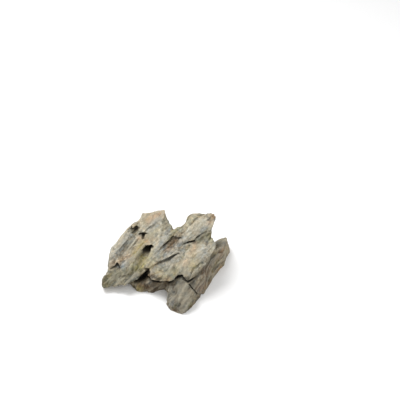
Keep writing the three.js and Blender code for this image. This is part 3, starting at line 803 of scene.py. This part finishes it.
# Stains of the front face, with painted shade and painted light among them, as strokes: width, strength,
# and points (across, up).
STAINS_AND_PAINTED_LIGHT = {
    "rust": [
        (6, 0.8, [(-22, 50), (-12, 55), (-7, 58)]),
        (4, 0.7, [(-33, 27), (-24, 24)]),
        (4, 0.35, [(-49, 5), (-36, 17), (-28, 25)]),
        (4, 0.5, [(-66, -4), (-58, 2), (-49, 6)]),
        (3.5, 0.8, [(22, 0), (28, 9)]),
        (3, 0.7, [(31, 14), (34, 22)]),
        (5, 0.6, [(1, 15), (6, 20), (12, 25)]),
        (3, 0.6, [(50, 46), (57, 56)]),
        (3, 0.5, [(-34, -16), (-19, -15)]),
        (4, 0.35, [(-18, -16), (-8, -20), (2, -22)]),
        (4, 0.5, [(4, -32), (7, -43)]),
        (4, 0.8, [(-31, -29), (-27, -27)]),
        (4, 0.5, [(38, -30), (42, -26)]),
        (4, 0.6, [(43, -15), (50, -6)]),
        (5, 0.45, [(61, 5), (68, 16)]),
        (1.8, 1, [(44, -15), (47, -12)]),
        (2.5, 0.6, [(62, -11), (65, -8)]),
        (4, 0.4, [(41, -33), (48, -25)]),
        (2.5, 0.35, [(-54, -4), (-50, -3)]),
        (5, 0.4, [(2, -53), (11, -56)]),
    ],
    # Dark brown strokes: partly veins and streaks, partly painted shade under the overhanging lip, on
    # the wall that turns from the light and along grooves.
    "umber_and_shade": [
        (2, 0.7, [(7.5, -40), (9.5, -36)]),
        (1.2, 0.8, [(13.5, -27), (11.8, -32), (11.2, -37), (13, -45)]),
        (2.6, 0.6, [(26, -28), (29, -34)]),
        (2.5, 0.7, [(14, -28), (20, -25.5)]),
        (2.5, 0.5, [(17, -45), (19, -50)]),
        (1.6, 0.9, [(-5, 34), (-4.5, 43), (-5.5, 52)]),
        (1.6, 0.7, [(-1, 36), (-2, 44), (-3, 50)]),
        (1.3, 1, [(8.5, 24), (8.3, 17)]),
        (1.2, 0.9, [(4.5, 21), (5, 16)]),
        (2.4, 0.8, [(-18, -15.5), (-12, -18), (-5, -19.5)]),
        (5, 0.45, [(30, -22), (38, -14), (50, -1), (56, 5)]),
        (7, 0.4, [(38, -30), (46, -18), (56, -8)]),
        (1.6, 0.9, [(43, -15), (46, -12)]),
        (7, 0.7, [(-18, -29), (0, -28)]),
        (4, 0.4, [(-35, 5), (-27, 12)]),
        (6, 0.4, [(-38, -33), (-22, -36), (-4, -34)]),
        (3, 0.6, [(-30, 32), (-29, 27)]),
        (9, 0.8, [(-30, -32), (-18, -32), (2, -30)]),
        (1.5, 0.6, [(35, 13), (37, 15)]),
        (2, 0.5, [(-60, -2), (-57, -6)]),
    ],
    "olive": [
        (3, 0.5, [(-5, 50), (-4, 30)]),
        (5, 0.5, [(29, -4), (32, 8)]),
        (7, 1, [(-37, -7), (-31, -2), (-27, 5)]),
        (5, 0.6, [(-38, 10), (-30, 22)]),
        (6, 0.5, [(8, 37), (18, 41), (28, 48)]),
        (4, 0.5, [(-20, 10), (-14, 18)]),
        (8, 0.3, [(-4, -14), (10, -8)]),
        (5, 0.5, [(48, 24), (54, 32)]),
        (5, 0.5, [(40, 26), (47, 32)]),
        (8, 0.4, [(-74, -24), (-58, -14), (-48, -16)]),
        (5, 0.5, [(-44, -16), (-35, -12)]),
        (4, 0.6, [(-36, -35), (-31, -32)]),
        (6, 0.4, [(-22, 34), (-10, 40)]),
    ],
    "lilac": [
        (6, 0.8, [(-64, 8), (-55, 18), (-46, 30)]),
        (4, 0.7, [(-23, 37), (-14, 45), (-9, 50)]),
        (6, 0.8, [(-10, 15), (-6, 27), (0, 36)]),
        (9, 0.5, [(24, 34), (36, 44), (46, 54)]),
        (4.5, 1, [(44, 13), (47, 23)]),
        (4, 0.7, [(-18, 44), (-10, 50)]),
        (5, 0.6, [(-8, 8), (4, 12)]),
        (8, 0.6, [(-4, -2), (10, 6), (18, 14)]),
        (5, 0.7, [(4, -33), (6, -46)]),
        (4, 0.6, [(38, 12), (44, 4)]),
        (4, 0.9, [(-55, -5), (-49, -3)]),
        (4, 0.8, [(62, 20), (69, 23)]),
        (4, 0.5, [(-47, -22), (-38, -16)]),
        (5, 0.4, [(14, 20), (20, 28)]),
    ],
    # Pale strokes: partly pale stone, partly painted light that lightens flanks turned from the light,
    # such as the left peak's right flank.
    "pale": [
        (3, 0.8, [(-66, 14), (-52, 36), (-36, 50)]),
        (3, 0.35, [(-34, 56), (-18, 61), (-6, 61)]),
        (4, 0.5, [(-8, 38), (-4, 50), (-2, 60)]),
        (2, 0.8, [(60, 18), (49, 7), (46, -1), (38, -6), (28, -14)]),
        (1.2, 1, [(59, 17.5), (50, 7.5)]),
        (3, 0.4, [(36, -24), (40, -17)]),
        (2, 0.7, [(-26, 8), (-18, 16), (-12, 22)]),
        (7, 0.5, [(18, 34), (34, 48), (48, 57)]),
        (1.5, 0.9, [(-31, 58), (-33, 48), (-31.5, 40), (-28, 37)]),
        (5, 0.4, [(-60, 3), (-46, 8)]),
        (1.5, 0.6, [(45.5, 17), (46, 23)]),
        (2.2, 1, [(14.8, -43), (17.5, -36.5), (21.6, -30.5), (24.5, -25.5)]),
        (4.5, 0.7, [(2, -31), (6, -38)]),
        (5, 0.4, [(-14, 24), (-8, 32)]),
        (3, 0.5, [(-46, -18), (-30, -14), (-26, -9)]),
        (1.2, 0.7, [(27, -25), (32, -32), (38, -38)]),
        (8, 0.3, [(20, 4), (34, 16), (42, 26)]),
    ],
    # Places that are darker and greener than the rest: a grey-green tint, and painted shade under
    # overhangs, on the toe and on the wall that turns from the light.
    "grey_green_and_shade": [
        (10, 1, [(-76, -26), (-62, -17), (-50, -19)]),
        (5, 0.6, [(-48, -20), (-36, -16), (-28, -11)]),
        (6, 0.8, [(36, 26), (44, 31), (51, 35)]),
        (16, 0.75, [(10, -52), (18, -36), (22, -24)]),
        (5, 0.9, [(50, -1), (57, 8)]),
        (3, 0.5, [(36, -15), (43, -9), (48, -4)]),
        (8, 0.8, [(14, -28), (20, -26)]),
        (2, 0.7, [(-76, -19), (-73, -17)]),
        (2.4, 0.8, [(-18, -15.5), (-12, -18), (-5, -19.5)]),
        (3, 0.6, [(-28, -25), (-18, -26.5)]),
        (3, 0.6, [(19, -24), (13, -32), (12, -37)]),
        (3, 0.8, [(-82, -28), (-70, -33), (-56, -31)]),
        (4, 0.8, [(-46, -13), (-37, -11)]),
        (3, 0.6, [(-52, -18), (-51, -16)]),
        (3, 0.5, [(-38, 5), (-32, 11)]),
    ],
    # Painted shadow in the named hollows and under their overhanging lips.
    "hollow_shadow": [
        (6, 1, [(-25, 15.5), (-19, 17.5)]),
        (3.5, 0.9, [(-30, 13), (-25, 15)]),
        (3.5, 1, [(-42, 37.5), (-37, 40)]),
        (2.4, 0.8, [(-33, 33.5), (-27, 33.8)]),
        (1.8, 0.6, [(-29.5, 32), (-29.5, 28.5)]),
        (4, 0.8, [(-66, -7), (-60, -2), (-57, -6)]),
        (3.5, 1, [(-39, -22), (-30, -19.5), (-24, -11)]),
        (1.8, 1, [(-17, -21.4), (-10.5, -23.2), (-3, -23.6), (4, -23.6), (8.5, -22)]),
        (1.8, 1, [(-2, -25), (-1, -30)]),
        (1.5, 0.6, [(-10, -2), (3, 4), (14, 10)]),
        (1.5, 0.7, [(-4, 20), (8, 28), (16, 28)]),
        (1.8, 1, [(25, 24), (33, 25.5)]),
        (3, 1, [(9, -20), (14, -16), (19, -15)]),
        (2, 1, [(20, -20), (25, -23), (34, -17)]),
        (2, 0.9, [(26, -25), (31, -31), (38, -39)]),
        (1.5, 0.6, [(-58, 14), (-47, 27)]),
        (1.5, 0.6, [(-46, 14), (-36, 27)]),
    ],
}
STAINS_FACE = (0.05, 0.45)  # how squarely skin faces the front where stains start, and are whole
CREST_RANGE = (-1, 1.6)  # relief of the beds and of the crests of the fine flutes
SUNK_RANGE = (5, 14)  # depth at which a hollow starts to darken with painted shade, and at which it is darkest
DENTED_RANGE = (0.4, 3)  # the same for the painted shadow strokes in the named hollows
LOWER_RANGE = (-1, 3)  # how much nearer to the lower layer its own look starts, and is whole


def stain_strength(strokes, across, up):
    """How strongly a list of strokes stains each place."""
    clear = np.ones(across.shape, np.float32)
    for width, strength, path in strokes:
        off, _, _ = along_path(path, across, up)
        clear *= 1 - strength * np.exp(-((off / width) ** 2))
    return 1 - clear


def ramp(values, low, high):
    """0 below low and 1 above high, with a smooth rise between."""
    t = np.clip((values - low) / (high - low), 0, 1)
    return t * t * (3 - 2 * t)


def set_attribute(mesh, name, values):
    """Gives each vertex a named number or vector."""
    if values.ndim == 2:
        mesh.attributes.new(name, "FLOAT_VECTOR", "POINT").data.foreach_set("vector", values.ravel())
    else:
        mesh.attributes.new(name, "FLOAT", "POINT").data.foreach_set("value", values)


def write_attributes(mesh):
    """Gives each vertex of the finished mesh what the material reads."""
    points = (vertex_vectors(mesh, "co") / MM + MIDDLE).astype(np.float32)
    normals = vertex_vectors(mesh, "normal")
    place = bent(points, FINE_BEND)
    set_attribute(mesh, "flow", (place @ FLUTE_AXES.T).astype(np.float32))
    relief = fine_relief(points)
    crest = ramp(relief + INSET, *CREST_RANGE)
    set_attribute(mesh, "crest", crest.astype(np.float32))
    sunk = relief - body(points)
    set_attribute(mesh, "sunk", ramp(sunk, *SUNK_RANGE).astype(np.float32))
    set_attribute(mesh, "dented", ramp(sunk, *DENTED_RANGE).astype(np.float32))
    upper, lower, _ = layers(points)
    set_attribute(mesh, "lower", ramp(upper - lower, *LOWER_RANGE).astype(np.float32))
    across, up, _ = on_face(FACES["front"], points)
    facing = ramp(normals @ FACES["front"][2], *STAINS_FACE)
    for name, strokes in STAINS_AND_PAINTED_LIGHT.items():
        set_attribute(mesh, name, (stain_strength(strokes, across, up) * facing).astype(np.float32))


# --- Material -----------------------------------------------------------------------------------------

def linear(red, green, blue):
    """A colour for the renderer from what a screen shows, each from 0 to 255."""
    return tuple(((value / 255 + 0.055) / 1.055) ** 2.4 for value in (red, green, blue))


# Which sockets a mix node uses for colours.
MIX_COLOR = {"factor": 0, "from": 6, "to": 7, "result": 2}


class Flow:
    """What one socket gives, in which expressions can be written."""

    def __init__(self, paint, socket):
        self.paint = paint
        self.socket = socket

    def __add__(self, other):
        return self.paint.math("ADD", self, other)

    __radd__ = __add__

    def __sub__(self, other):
        return self.paint.math("SUBTRACT", self, other)

    def __rsub__(self, other):
        return self.paint.math("SUBTRACT", other, self)

    def __mul__(self, other):
        return self.paint.math("MULTIPLY", self, other)

    def __rtruediv__(self, other):
        return self.paint.math("DIVIDE", other, self)


class Paint:
    """A tree of nodes, made from expressions."""

    def __init__(self, tree):
        self.tree = tree

    def node(self, kind, settings=None, values=None, output=0):
        """One output of a new node. Its settings are set first, then its sockets' values or links."""
        made = self.tree.nodes.new(kind)
        for name, value in (settings or {}).items():
            setattr(made, name, value)
        for key, value in (values or {}).items():
            if isinstance(value, Flow):
                self.tree.links.new(value.socket, made.inputs[key])
            else:
                made.inputs[key].default_value = value
        return None if output is None else Flow(self, made.outputs[output])

    def math(self, operation, *values):
        """A sum or another function of numbers."""
        return self.node("ShaderNodeMath", {"operation": operation}, dict(enumerate(values)))

    def vector(self, operation, *values):
        """A function of vectors."""
        return self.node("ShaderNodeVectorMath", {"operation": operation}, dict(enumerate(values)))

    def ramp(self, value, low, high):
        """0 below low and 1 above high, with a smooth rise between."""
        return self.node(
            "ShaderNodeMapRange", {"interpolation_type": "SMOOTHSTEP"}, {0: value, 1: low, 2: high})

    def mix(self, factor, start, end, blend="MIX"):
        """A colour between two others."""
        settings = {"data_type": "RGBA", "blend_type": blend, "clamp_factor": True}
        values = zip(("factor", "from", "to"), (factor, rgba(start), rgba(end)))
        sockets = {MIX_COLOR[name]: value for name, value in values}
        return self.node("ShaderNodeMix", settings, sockets, MIX_COLOR["result"])

    def tint(self, color, tint):
        """A colour seen through another."""
        return self.mix(1, color, tint, "MULTIPLY")

    def shade(self, color, level):
        """A colour that is this many times as light."""
        return self.tint(color, (level, level, level))

    def shaded(self, factor, color, shades):
        """A colour in a shade between two."""
        dark, light = shades
        return self.mix(factor, self.shade(color, dark), self.shade(color, light))

    def attribute(self, name, output="Fac"):
        """What the mesh says at each place."""
        return self.node("ShaderNodeAttribute", {"attribute_name": name}, output=output)

    def noise(self, place, sizes, detail, rough=0.55, away=0):
        """Noise from 0 to 1 with features of these sizes along each axis. Away picks another part."""
        place = self.vector("DIVIDE", place, sizes)
        place = self.vector("ADD", place, (away, away, away))
        return self.node(
            "ShaderNodeTexNoise", None,
            {"Vector": place, "Scale": 1, "Detail": detail, "Roughness": rough})


def rgba(color):
    """A colour as a socket takes it."""
    return color if isinstance(color, Flow) else (*color, 1)


# What the clay is tinted with in warm and in cool patches.
WARM, COOL = (1.06, 0.985, 0.9), (0.95, 1, 1.05)
# How much of each stain is strewn all over the stone, beyond the named strokes, and by which noise.
STRAY = {"rust": (0.45, 50), "umber_and_shade": (0.5, 60), "olive": (0.35, 70), "lilac": (0.4, 80),
         "pale": (0.4, 90), "grey_green_and_shade": (0.3, 100)}
STRAY_SIZES = (24, 5, 5)  # how large the patches of strewn stain are, along the flutes and across them

# Noises of the clay, with the sizes of their features in millimetres along the flutes and across them.
FLOW_NOISES = {
    "bands": {"sizes": (34, 7, 7), "detail": 3, "away": 10},
    "streaks": {"sizes": (16, 2.4, 2.4), "detail": 4, "away": 20},
    "threads": {"sizes": (3.2, 1.1, 1.1), "detail": 4, "rough": 0.7, "away": 30},
}
# Noises whose features are alike in every direction.
EVEN_NOISES = {
    "clouds": {"sizes": (26, 26, 26), "detail": 3},
    "mottle": {"sizes": (4, 4, 4), "detail": 5, "rough": 0.7, "away": 40},
    "specks": {"sizes": (2, 2, 2), "detail": 3, "rough": 0.7},
    "hues": {"sizes": (6, 6, 6), "detail": 3, "rough": 0.6, "away": 7},
    "grit": {"sizes": (0.55, 0.55, 0.55), "detail": 3, "rough": 0.6, "away": 5},
    "crumbs": {"sizes": (2.2, 2.2, 2.2), "detail": 4, "rough": 0.65, "away": 15},
}
# How each thing shows in the clay: between which levels of its noise it sets in, and how much of it
# shows where it is whole.
SHOWS = {
    "ash": (0.35, 0.65, 1),
    "lilac bands": (0.52, 0.68, 0.6),
    "olive bands": (0.54, 0.7, 0.55),
    "broken stains": (0.3, 0.7, 0.9),
    "stray patches": (0.56, 0.72, 1),
    "stray streaks": (0.4, 0.6, 1),
    "cool hues": (0.36, 0.64, 1),
    "light threads": (0.3, 0.7, 1),
    "light mottle": (0.38, 0.62, 1),
    "lower spots": (0.56, 0.66, 0.45),
    "light specks": (0.6, 0.7, 1),
    "dark specks": (0.6, 0.7, 0.5),
    "worn crests": (0.5, 1, 0.35),
    "damp beds": (0.45, 1, 0.8),
    "rough threads": (0.2, 0.8, 0.16),
}
STAINS_KEPT = 0.55  # how much of a stain shows between the streaks that it is broken up by
STREAK_CONTRAST = 1.6  # how steeply the shade follows the streaks
# The darkest and the lightest shade that each noise gives the clay.
SHADES = {"streaks": (0.6, 1.26), "threads": (0.72, 1.2), "mottle": (0.63, 1.29)}
SPECK_SHADE = 1.4  # how light the light specks are
LOWER_DAMP_AND_SHADE = 0.3  # how strongly the lower layer is tinted browner and darker, partly as painted shade
HOLLOW_SHADE = 0.96  # how much of the clay the painted shadow in hollows hides at most
ROUGHNESS, GLOSS = 0.78, 0.25  # the least roughness, and how strongly the clay mirrors
# How much each noise adds to the finest grain, which is shaded and not modelled.
GRAIN = {"threads": 0.8, "streaks": 0.6, "grit": 0.4, "crumbs": 1.2}


def shown(paint, name, level):
    """How much of a thing shows at a level of its noise."""
    low, high, most = SHOWS[name]
    return paint.ramp(level, low, high) * most


def body_color(paint, colors, noises):
    """The body colour, in clouds and in bands along the flutes."""
    bands = noises["bands"]
    color = paint.mix(shown(paint, "ash", noises["clouds"]), colors.clay, colors.ash)
    color = paint.mix(shown(paint, "lilac bands", bands), color, colors.lilac)
    return paint.mix(shown(paint, "olive bands", 1 - bands), color, colors.olive)


def stained(paint, color, colors, flow, streaks):
    """A colour with every stain on it, painted shade and painted light among them, broken up along the
    streaks.
    """
    broken = STAINS_KEPT + shown(paint, "broken stains", streaks)
    for name, (share, away) in STRAY.items():
        patches = paint.noise(flow, STRAY_SIZES, detail=3, away=away)
        strewn = shown(paint, "stray patches", patches) * share * shown(paint, "stray streaks", streaks)
        stain = getattr(colors, name)
        end = paint.tint(color, stain) if name == "grey_green_and_shade" else stain
        color = paint.mix(paint.attribute(name) * broken + strewn, color, end)
    return color


def mottled(paint, color, colors, noises):
    """A colour with warm and cool patches, light and dark threads, and specks."""
    streaks, threads, mottle, specks = (
        noises[name] for name in ("streaks", "threads", "mottle", "specks"))
    cool = shown(paint, "cool hues", noises["hues"])
    color = paint.mix(cool, paint.tint(color, WARM), paint.tint(color, COOL))
    color = paint.shaded((streaks - 0.5) * STREAK_CONTRAST + 0.5, color, SHADES["streaks"])
    color = paint.shaded(shown(paint, "light threads", threads), color, SHADES["threads"])
    color = paint.shaded(shown(paint, "light mottle", mottle), color, SHADES["mottle"])
    lower_spots = shown(paint, "lower spots", mottle) * paint.attribute("lower")
    color = paint.mix(lower_spots, color, colors.umber_and_shade)
    light_specks = shown(paint, "light specks", specks)
    color = paint.mix(light_specks, color, paint.shade(color, SPECK_SHADE))
    return paint.mix(shown(paint, "dark specks", 1 - specks), color, colors.umber_and_shade)


def weathered_and_shaded(paint, color, colors):
    """A colour that is browner on the lower layer and in the beds between flutes, both partly painted
    shade, paler on worn crests, and dark with painted shadow in the hollows.
    """
    crest, sunk, dented, lower, shadow_strokes = (
        paint.attribute(name) for name in ("crest", "sunk", "dented", "lower", "hollow_shadow"))
    # The lower layer is browner and darker, partly as painted shade, since it turns from the light.
    color = paint.mix(lower * LOWER_DAMP_AND_SHADE, color, paint.tint(color, colors.damp_and_shade))
    color = paint.mix(shown(paint, "worn crests", crest), color, colors.pale)
    # The beds between the flutes are darker, partly as painted shade.
    color = paint.mix(shown(paint, "damp beds", 1 - crest), color, paint.tint(color, colors.damp_and_shade))
    # Painted shadow: the named strokes in the hollows, and darkness that grows with a hollow's depth.
    color = paint.mix(shadow_strokes * dented * HOLLOW_SHADE, color, colors.hollow_shadow)
    return paint.mix(sunk * HOLLOW_SHADE, color, colors.hollow_shadow)


def claystone_material(colors, grain):
    """Dull clay stone: streaks along the flutes, stains with painted shade and light among them, worn
    crests and painted shadow in the hollows.
    """
    material = bpy.data.materials.new("claystone_skin")
    material.use_nodes = True
    material.node_tree.nodes.clear()
    paint = Paint(material.node_tree)
    flow = paint.attribute("flow", "Vector")
    place = paint.vector("DIVIDE", paint.node("ShaderNodeTexCoord", output="Object"), (MM, MM, MM))
    noises = {name: paint.noise(flow, **how) for name, how in FLOW_NOISES.items()}
    noises |= {name: paint.noise(place, **how) for name, how in EVEN_NOISES.items()}
    color = body_color(paint, colors, noises)
    color = stained(paint, color, colors, flow, noises["streaks"])
    color = mottled(paint, color, colors, noises)
    color = weathered_and_shaded(paint, color, colors)
    height = sum(noises[name] * share for name, share in GRAIN.items())
    bump = paint.node("ShaderNodeBump", None, {"Strength": 1, "Distance": grain, "Height": height})
    roughness = shown(paint, "rough threads", noises["threads"]) + ROUGHNESS
    skin = paint.node("ShaderNodeBsdfPrincipled", None, {
        "Base Color": color, "Roughness": roughness, "Normal": bump, "Specular IOR Level": GLOSS})
    paint.node("ShaderNodeOutputMaterial", None, {"Surface": skin}, output=None)
    return material


def plain_material(name, color, roughness):
    """A material of one colour."""
    material = bpy.data.materials.new(name)
    material.use_nodes = True
    shader = material.node_tree.nodes["Principled BSDF"]
    shader.inputs["Base Color"].default_value = (*color, 1)
    shader.inputs["Roughness"].default_value = roughness
    return material


# --- Grit: fine relief on the finished skin -----------------------------------------------------------

GRIT_SEED = 11
# The noise that makes the grit.
GRIT_NOISE = {"W": GRIT_SEED, "Detail": 2, "Roughness": 0.5}
# What the grit's tree takes in, and of which kind each is.
GRIT_INPUTS = {
    "Geometry": "Geometry",
    "Height": "Float",
    "Width": "Float",
    "Clear": "Float",
    "Material": "Material",
}


def grit_tree():
    """Geometry nodes that roughen a mesh along its normals, except just above the floor."""
    tree = bpy.data.node_groups.new("stone_grit", "GeometryNodeTree")
    for name, kind in GRIT_INPUTS.items():
        tree.interface.new_socket(name, in_out="INPUT", socket_type="NodeSocket" + kind)
    tree.interface.new_socket("Geometry", in_out="OUTPUT", socket_type="NodeSocketGeometry")
    paint = Paint(tree)
    source = tree.nodes.new("NodeGroupInput")
    geometry, height, width, clear, material = (
        Flow(paint, source.outputs[name]) for name in GRIT_INPUTS)
    position = paint.node("GeometryNodeInputPosition")
    above_floor = paint.node("ShaderNodeSeparateXYZ", None, {0: position}, output="Z")
    lumps = paint.node(
        "ShaderNodeTexNoise", {"noise_dimensions": "4D"},
        {"Vector": position, "Scale": 1 / width, **GRIT_NOISE})
    rise = (lumps - 0.5) * 2 * height * paint.ramp(above_floor, 0, clear)
    normal = paint.node("GeometryNodeInputNormal")
    offset = paint.node("ShaderNodeVectorMath", {"operation": "SCALE"}, {0: normal, 3: rise})
    moved = paint.node("GeometryNodeSetPosition", None, {"Geometry": geometry, "Offset": offset})
    whole = paint.node("GeometryNodeRealizeInstances", None, {0: moved})
    finished = paint.node("GeometryNodeSetMaterial", None, {"Geometry": whole, "Material": material})
    paint.node("NodeGroupOutput", None, {0: finished}, output=None)
    return tree


def roughened(mesh, shape, material):
    """The mesh with grit on it."""
    stone = bpy.data.objects.new("gritty_stone", mesh)
    bpy.context.scene.collection.objects.link(stone)
    grit = stone.modifiers.new("Grit", "NODES")
    grit.node_group = grit_tree()
    values = {"Height": shape.grit_height, "Width": shape.grit_width, "Clear": shape.grit_clear,
              "Material": material}
    for item in grit.node_group.interface.items_tree:
        if item.in_out == "INPUT" and item.name in values:
            grit[item.identifier] = values[item.name]
    finished = baked(stone)
    stone.modifiers.remove(grit)
    bpy.data.objects.remove(stone)
    return finished


# --- Settings -----------------------------------------------------------------------------------------

class DragonStoneShape(bpy.types.PropertyGroup):
    """Sizes of the stone's fine surface."""

    step: bpy.props.FloatProperty(
        name="Grid step", description="Spacing of the grid that the stone is carved on",
        default=STEP * MM, unit="LENGTH", precision=5)
    quick_step: bpy.props.FloatProperty(
        name="Quick grid step", description="Spacing of the grid for a quick look",
        default=QUICK_STEP * MM, unit="LENGTH", precision=5)
    triangles: bpy.props.IntProperty(
        name="Triangles", description="The most triangles that the stone may have", default=195_000)
    grit_height: bpy.props.FloatProperty(
        name="Grit height", description="How far the grit rises and sinks",
        default=0.16 * MM, unit="LENGTH", precision=5)
    grit_width: bpy.props.FloatProperty(
        name="Grit width", description="Size of the grit's lumps",
        default=2.4 * MM, unit="LENGTH", precision=5)
    grit_clear: bpy.props.FloatProperty(
        name="Grit clearance", description="Height above the floor at which the grit is whole",
        default=2 * MM, unit="LENGTH", precision=5)
    grain: bpy.props.FloatProperty(
        name="Grain", description="Height of the finest grain, which is shaded and not modelled",
        default=0.5 * MM, unit="LENGTH", precision=5)


def color_property(name, description, color):
    """A colour that a user may change."""
    return bpy.props.FloatVectorProperty(
        name=name, description=description, default=linear(*color), subtype="COLOR", min=0, max=1)


class DragonStoneColors(bpy.types.PropertyGroup):
    """Colours of the clay stone, some of which also paint shade and light onto it."""

    clay: color_property("Clay", "Warm body colour", (152, 142, 118))
    ash: color_property("Ash", "Grey body colour", (143, 139, 125))
    lilac: color_property("Lilac", "Cool blue-grey bands", (143, 147, 145))
    rust: color_property("Rust", "Orange-tan stains of iron", (162, 130, 100))
    olive: color_property("Olive", "Green-yellow stains", (142, 134, 86))
    # Also used for painted light on flanks turned from the light.
    pale: color_property("Pale", "Dry worn crests", (184, 176, 156))
    # Also used for painted shade under the lip and on the wall that turns from the light.
    umber_and_shade: color_property("Umber", "Dark brown veins", (84, 70, 54))
    # Also used for painted shade under overhangs and on faces turned from the light.
    grey_green_and_shade: color_property("Moss", "Tint of dark grey-green places", (176, 181, 186))
    # Also tints darker, partly as painted shade, the lower layer and the beds between flutes.
    damp_and_shade: color_property(
        "Damp", "Tint of the lower layer and of the beds between flutes", (196, 188, 174))
    # Painted shadow in the hollows, darkest where they are deepest.
    hollow_shadow: color_property("Soot", "Dirt deep in the hollows", (12, 10, 7))


class DragonStoneStage(bpy.types.PropertyGroup):
    """The floor, the light and the camera."""

    floor_size: bpy.props.FloatProperty(
        name="Floor size", description="Length of the floor's sides", default=12, unit="LENGTH")
    floor_color: color_property("Floor", "Colour of the floor", (238, 238, 238))
    sky: bpy.props.FloatProperty(
        name="Sky", description="Strength of the light from all round", default=0.75)
    key: bpy.props.FloatProperty(
        name="Key light", description="Power of the large light above on the left", default=8.2,
        unit="POWER")
    fill: bpy.props.FloatProperty(
        name="Fill light", description="Power of the weak light in front on the right", default=3,
        unit="POWER")
    lens: bpy.props.FloatProperty(
        name="Lens", description="Focal length of the camera", default=100, unit="CAMERA")


# --- Operators ----------------------------------------------------------------------------------------

class MESH_OT_dragon_stone(bpy.types.Operator):
    """Carve the dragon stone and colour it"""

    bl_idname = "mesh.dragon_stone"
    bl_label = "Dragon Stone"
    bl_options = {"REGISTER", "UNDO"}

    def execute(self, context):
        shape = context.scene.dragon_stone_shape
        step = shape.step / MM
        skin = skin_mesh(*biggest_piece(*net(step)), shape.triangles)
        material = claystone_material(context.scene.dragon_stone_colors, shape.grain)
        mesh = roughened(skin, shape, material)
        write_attributes(mesh)
        stone = bpy.data.objects.new("dragon_stone", mesh)
        context.scene.collection.objects.link(stone)
        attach(stone, "root")
        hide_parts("stone")
        return {"FINISHED"}


# The view, in millimetres: its centre, across, up and out of the front face, and the camera's distance.
VIEW_CENTRE = (39.6, 74.4, 45)
VIEW_DISTANCE = 1333
SENSOR_WIDTH = 36  # of the camera
# The lights, in millimetres: where they are, how long their sides are, and what they point at.
KEY_LIGHT = {"place": (-350, 350, 900), "size": 500}
FILL_LIGHT = {"place": (500, -700, 700), "size": 800}
LIT_PLACE = (0, 0, 30)
FLOOR_ROUGHNESS = 0.8


def add_light(name, light, power):
    """A square light that points at the stone."""
    lamp = bpy.data.lights.new(name, "AREA")
    lamp.size = light["size"] * MM
    lamp.energy = power
    holder = bpy.data.objects.new(name, lamp)
    bpy.context.scene.collection.objects.link(holder)
    holder.location = Vector(light["place"]) * MM
    aim = Vector(LIT_PLACE) * MM - holder.location
    holder.rotation_euler = aim.to_track_quat("-Z", "Y").to_euler()


def add_floor(stage):
    """A square floor under the stone."""
    half = stage.floor_size / 2
    mesh = bpy.data.meshes.new("floor")
    corners = [(-half, -half, 0), (half, -half, 0), (half, half, 0), (-half, half, 0)]
    mesh.from_pydata(corners, [], [(0, 1, 2, 3)])
    mesh.materials.append(plain_material("pale_floor", stage.floor_color, FLOOR_ROUGHNESS))
    floor = bpy.data.objects.new("floor", mesh)
    bpy.context.scene.collection.objects.link(floor)


def add_camera(stage):
    """A camera that looks straight at the front face."""
    axes = FACES["front"]
    place = (ORIGIN - MIDDLE + np.array(VIEW_CENTRE) @ axes + VIEW_DISTANCE * axes[2]) * MM
    camera = bpy.data.cameras.new("camera")
    camera.lens = stage.lens
    camera.sensor_width = SENSOR_WIDTH
    holder = bpy.data.objects.new("camera", camera)
    bpy.context.scene.collection.objects.link(holder)
    holder.matrix_world = Matrix.Translation(place.tolist()) @ Matrix(axes.T.tolist()).to_4x4()
    bpy.context.scene.camera = holder


class SCENE_OT_dragon_stone_stage(bpy.types.Operator):
    """Set a pale floor, soft light and a camera for the dragon stone"""

    bl_idname = "scene.dragon_stone_stage"
    bl_label = "Stage"
    bl_options = {"REGISTER", "UNDO"}

    def execute(self, context):
        stage = context.scene.dragon_stone_stage
        world = bpy.data.worlds.new("soft_sky")
        world.use_nodes = True
        sky = world.node_tree.nodes["Background"]
        sky.inputs["Color"].default_value = (1, 1, 1, 1)
        sky.inputs["Strength"].default_value = stage.sky
        context.scene.world = world
        add_floor(stage)
        add_light("key_light", KEY_LIGHT, stage.key)
        add_light("fill_light", FILL_LIGHT, stage.fill)
        add_camera(stage)
        context.scene.view_settings.view_transform = "Standard"
        return {"FINISHED"}


class VIEW3D_PT_dragon_stone(bpy.types.Panel):
    """The dragon stone's settings and steps"""

    bl_idname = "VIEW3D_PT_dragon_stone"
    bl_label = "Dragon Stone"
    bl_space_type = "VIEW_3D"
    bl_region_type = "UI"
    bl_category = "Dragon Stone"

    def draw(self, context):
        for group, operator in PANEL_PARTS:
            box = self.layout.box()
            settings = getattr(context.scene, group)
            for name in settings.__annotations__:
                box.prop(settings, name)
            if operator:
                box.operator(operator)


# The panel's boxes: a group of settings, and the operator under them, if any.
PANEL_PARTS = [
    ("dragon_stone_colors", None),
    ("dragon_stone_shape", MESH_OT_dragon_stone.bl_idname),
    ("dragon_stone_stage", SCENE_OT_dragon_stone_stage.bl_idname),
]
GROUPS = {
    "dragon_stone_shape": DragonStoneShape,
    "dragon_stone_colors": DragonStoneColors,
    "dragon_stone_stage": DragonStoneStage,
}
CLASSES = [*GROUPS.values(), MESH_OT_dragon_stone, SCENE_OT_dragon_stone_stage, VIEW3D_PT_dragon_stone]


def register():
    for made in CLASSES:
        bpy.utils.register_class(made)
    for name, group in GROUPS.items():
        setattr(bpy.types.Scene, name, bpy.props.PointerProperty(type=group))


def unregister():
    for name in GROUPS:
        delattr(bpy.types.Scene, name)
    for made in reversed(CLASSES):
        bpy.utils.unregister_class(made)


def main():
    register()
    bpy.ops.mesh.dragon_stone()
    bpy.ops.scene.dragon_stone_stage()


if __name__ == "__main__":
    main()
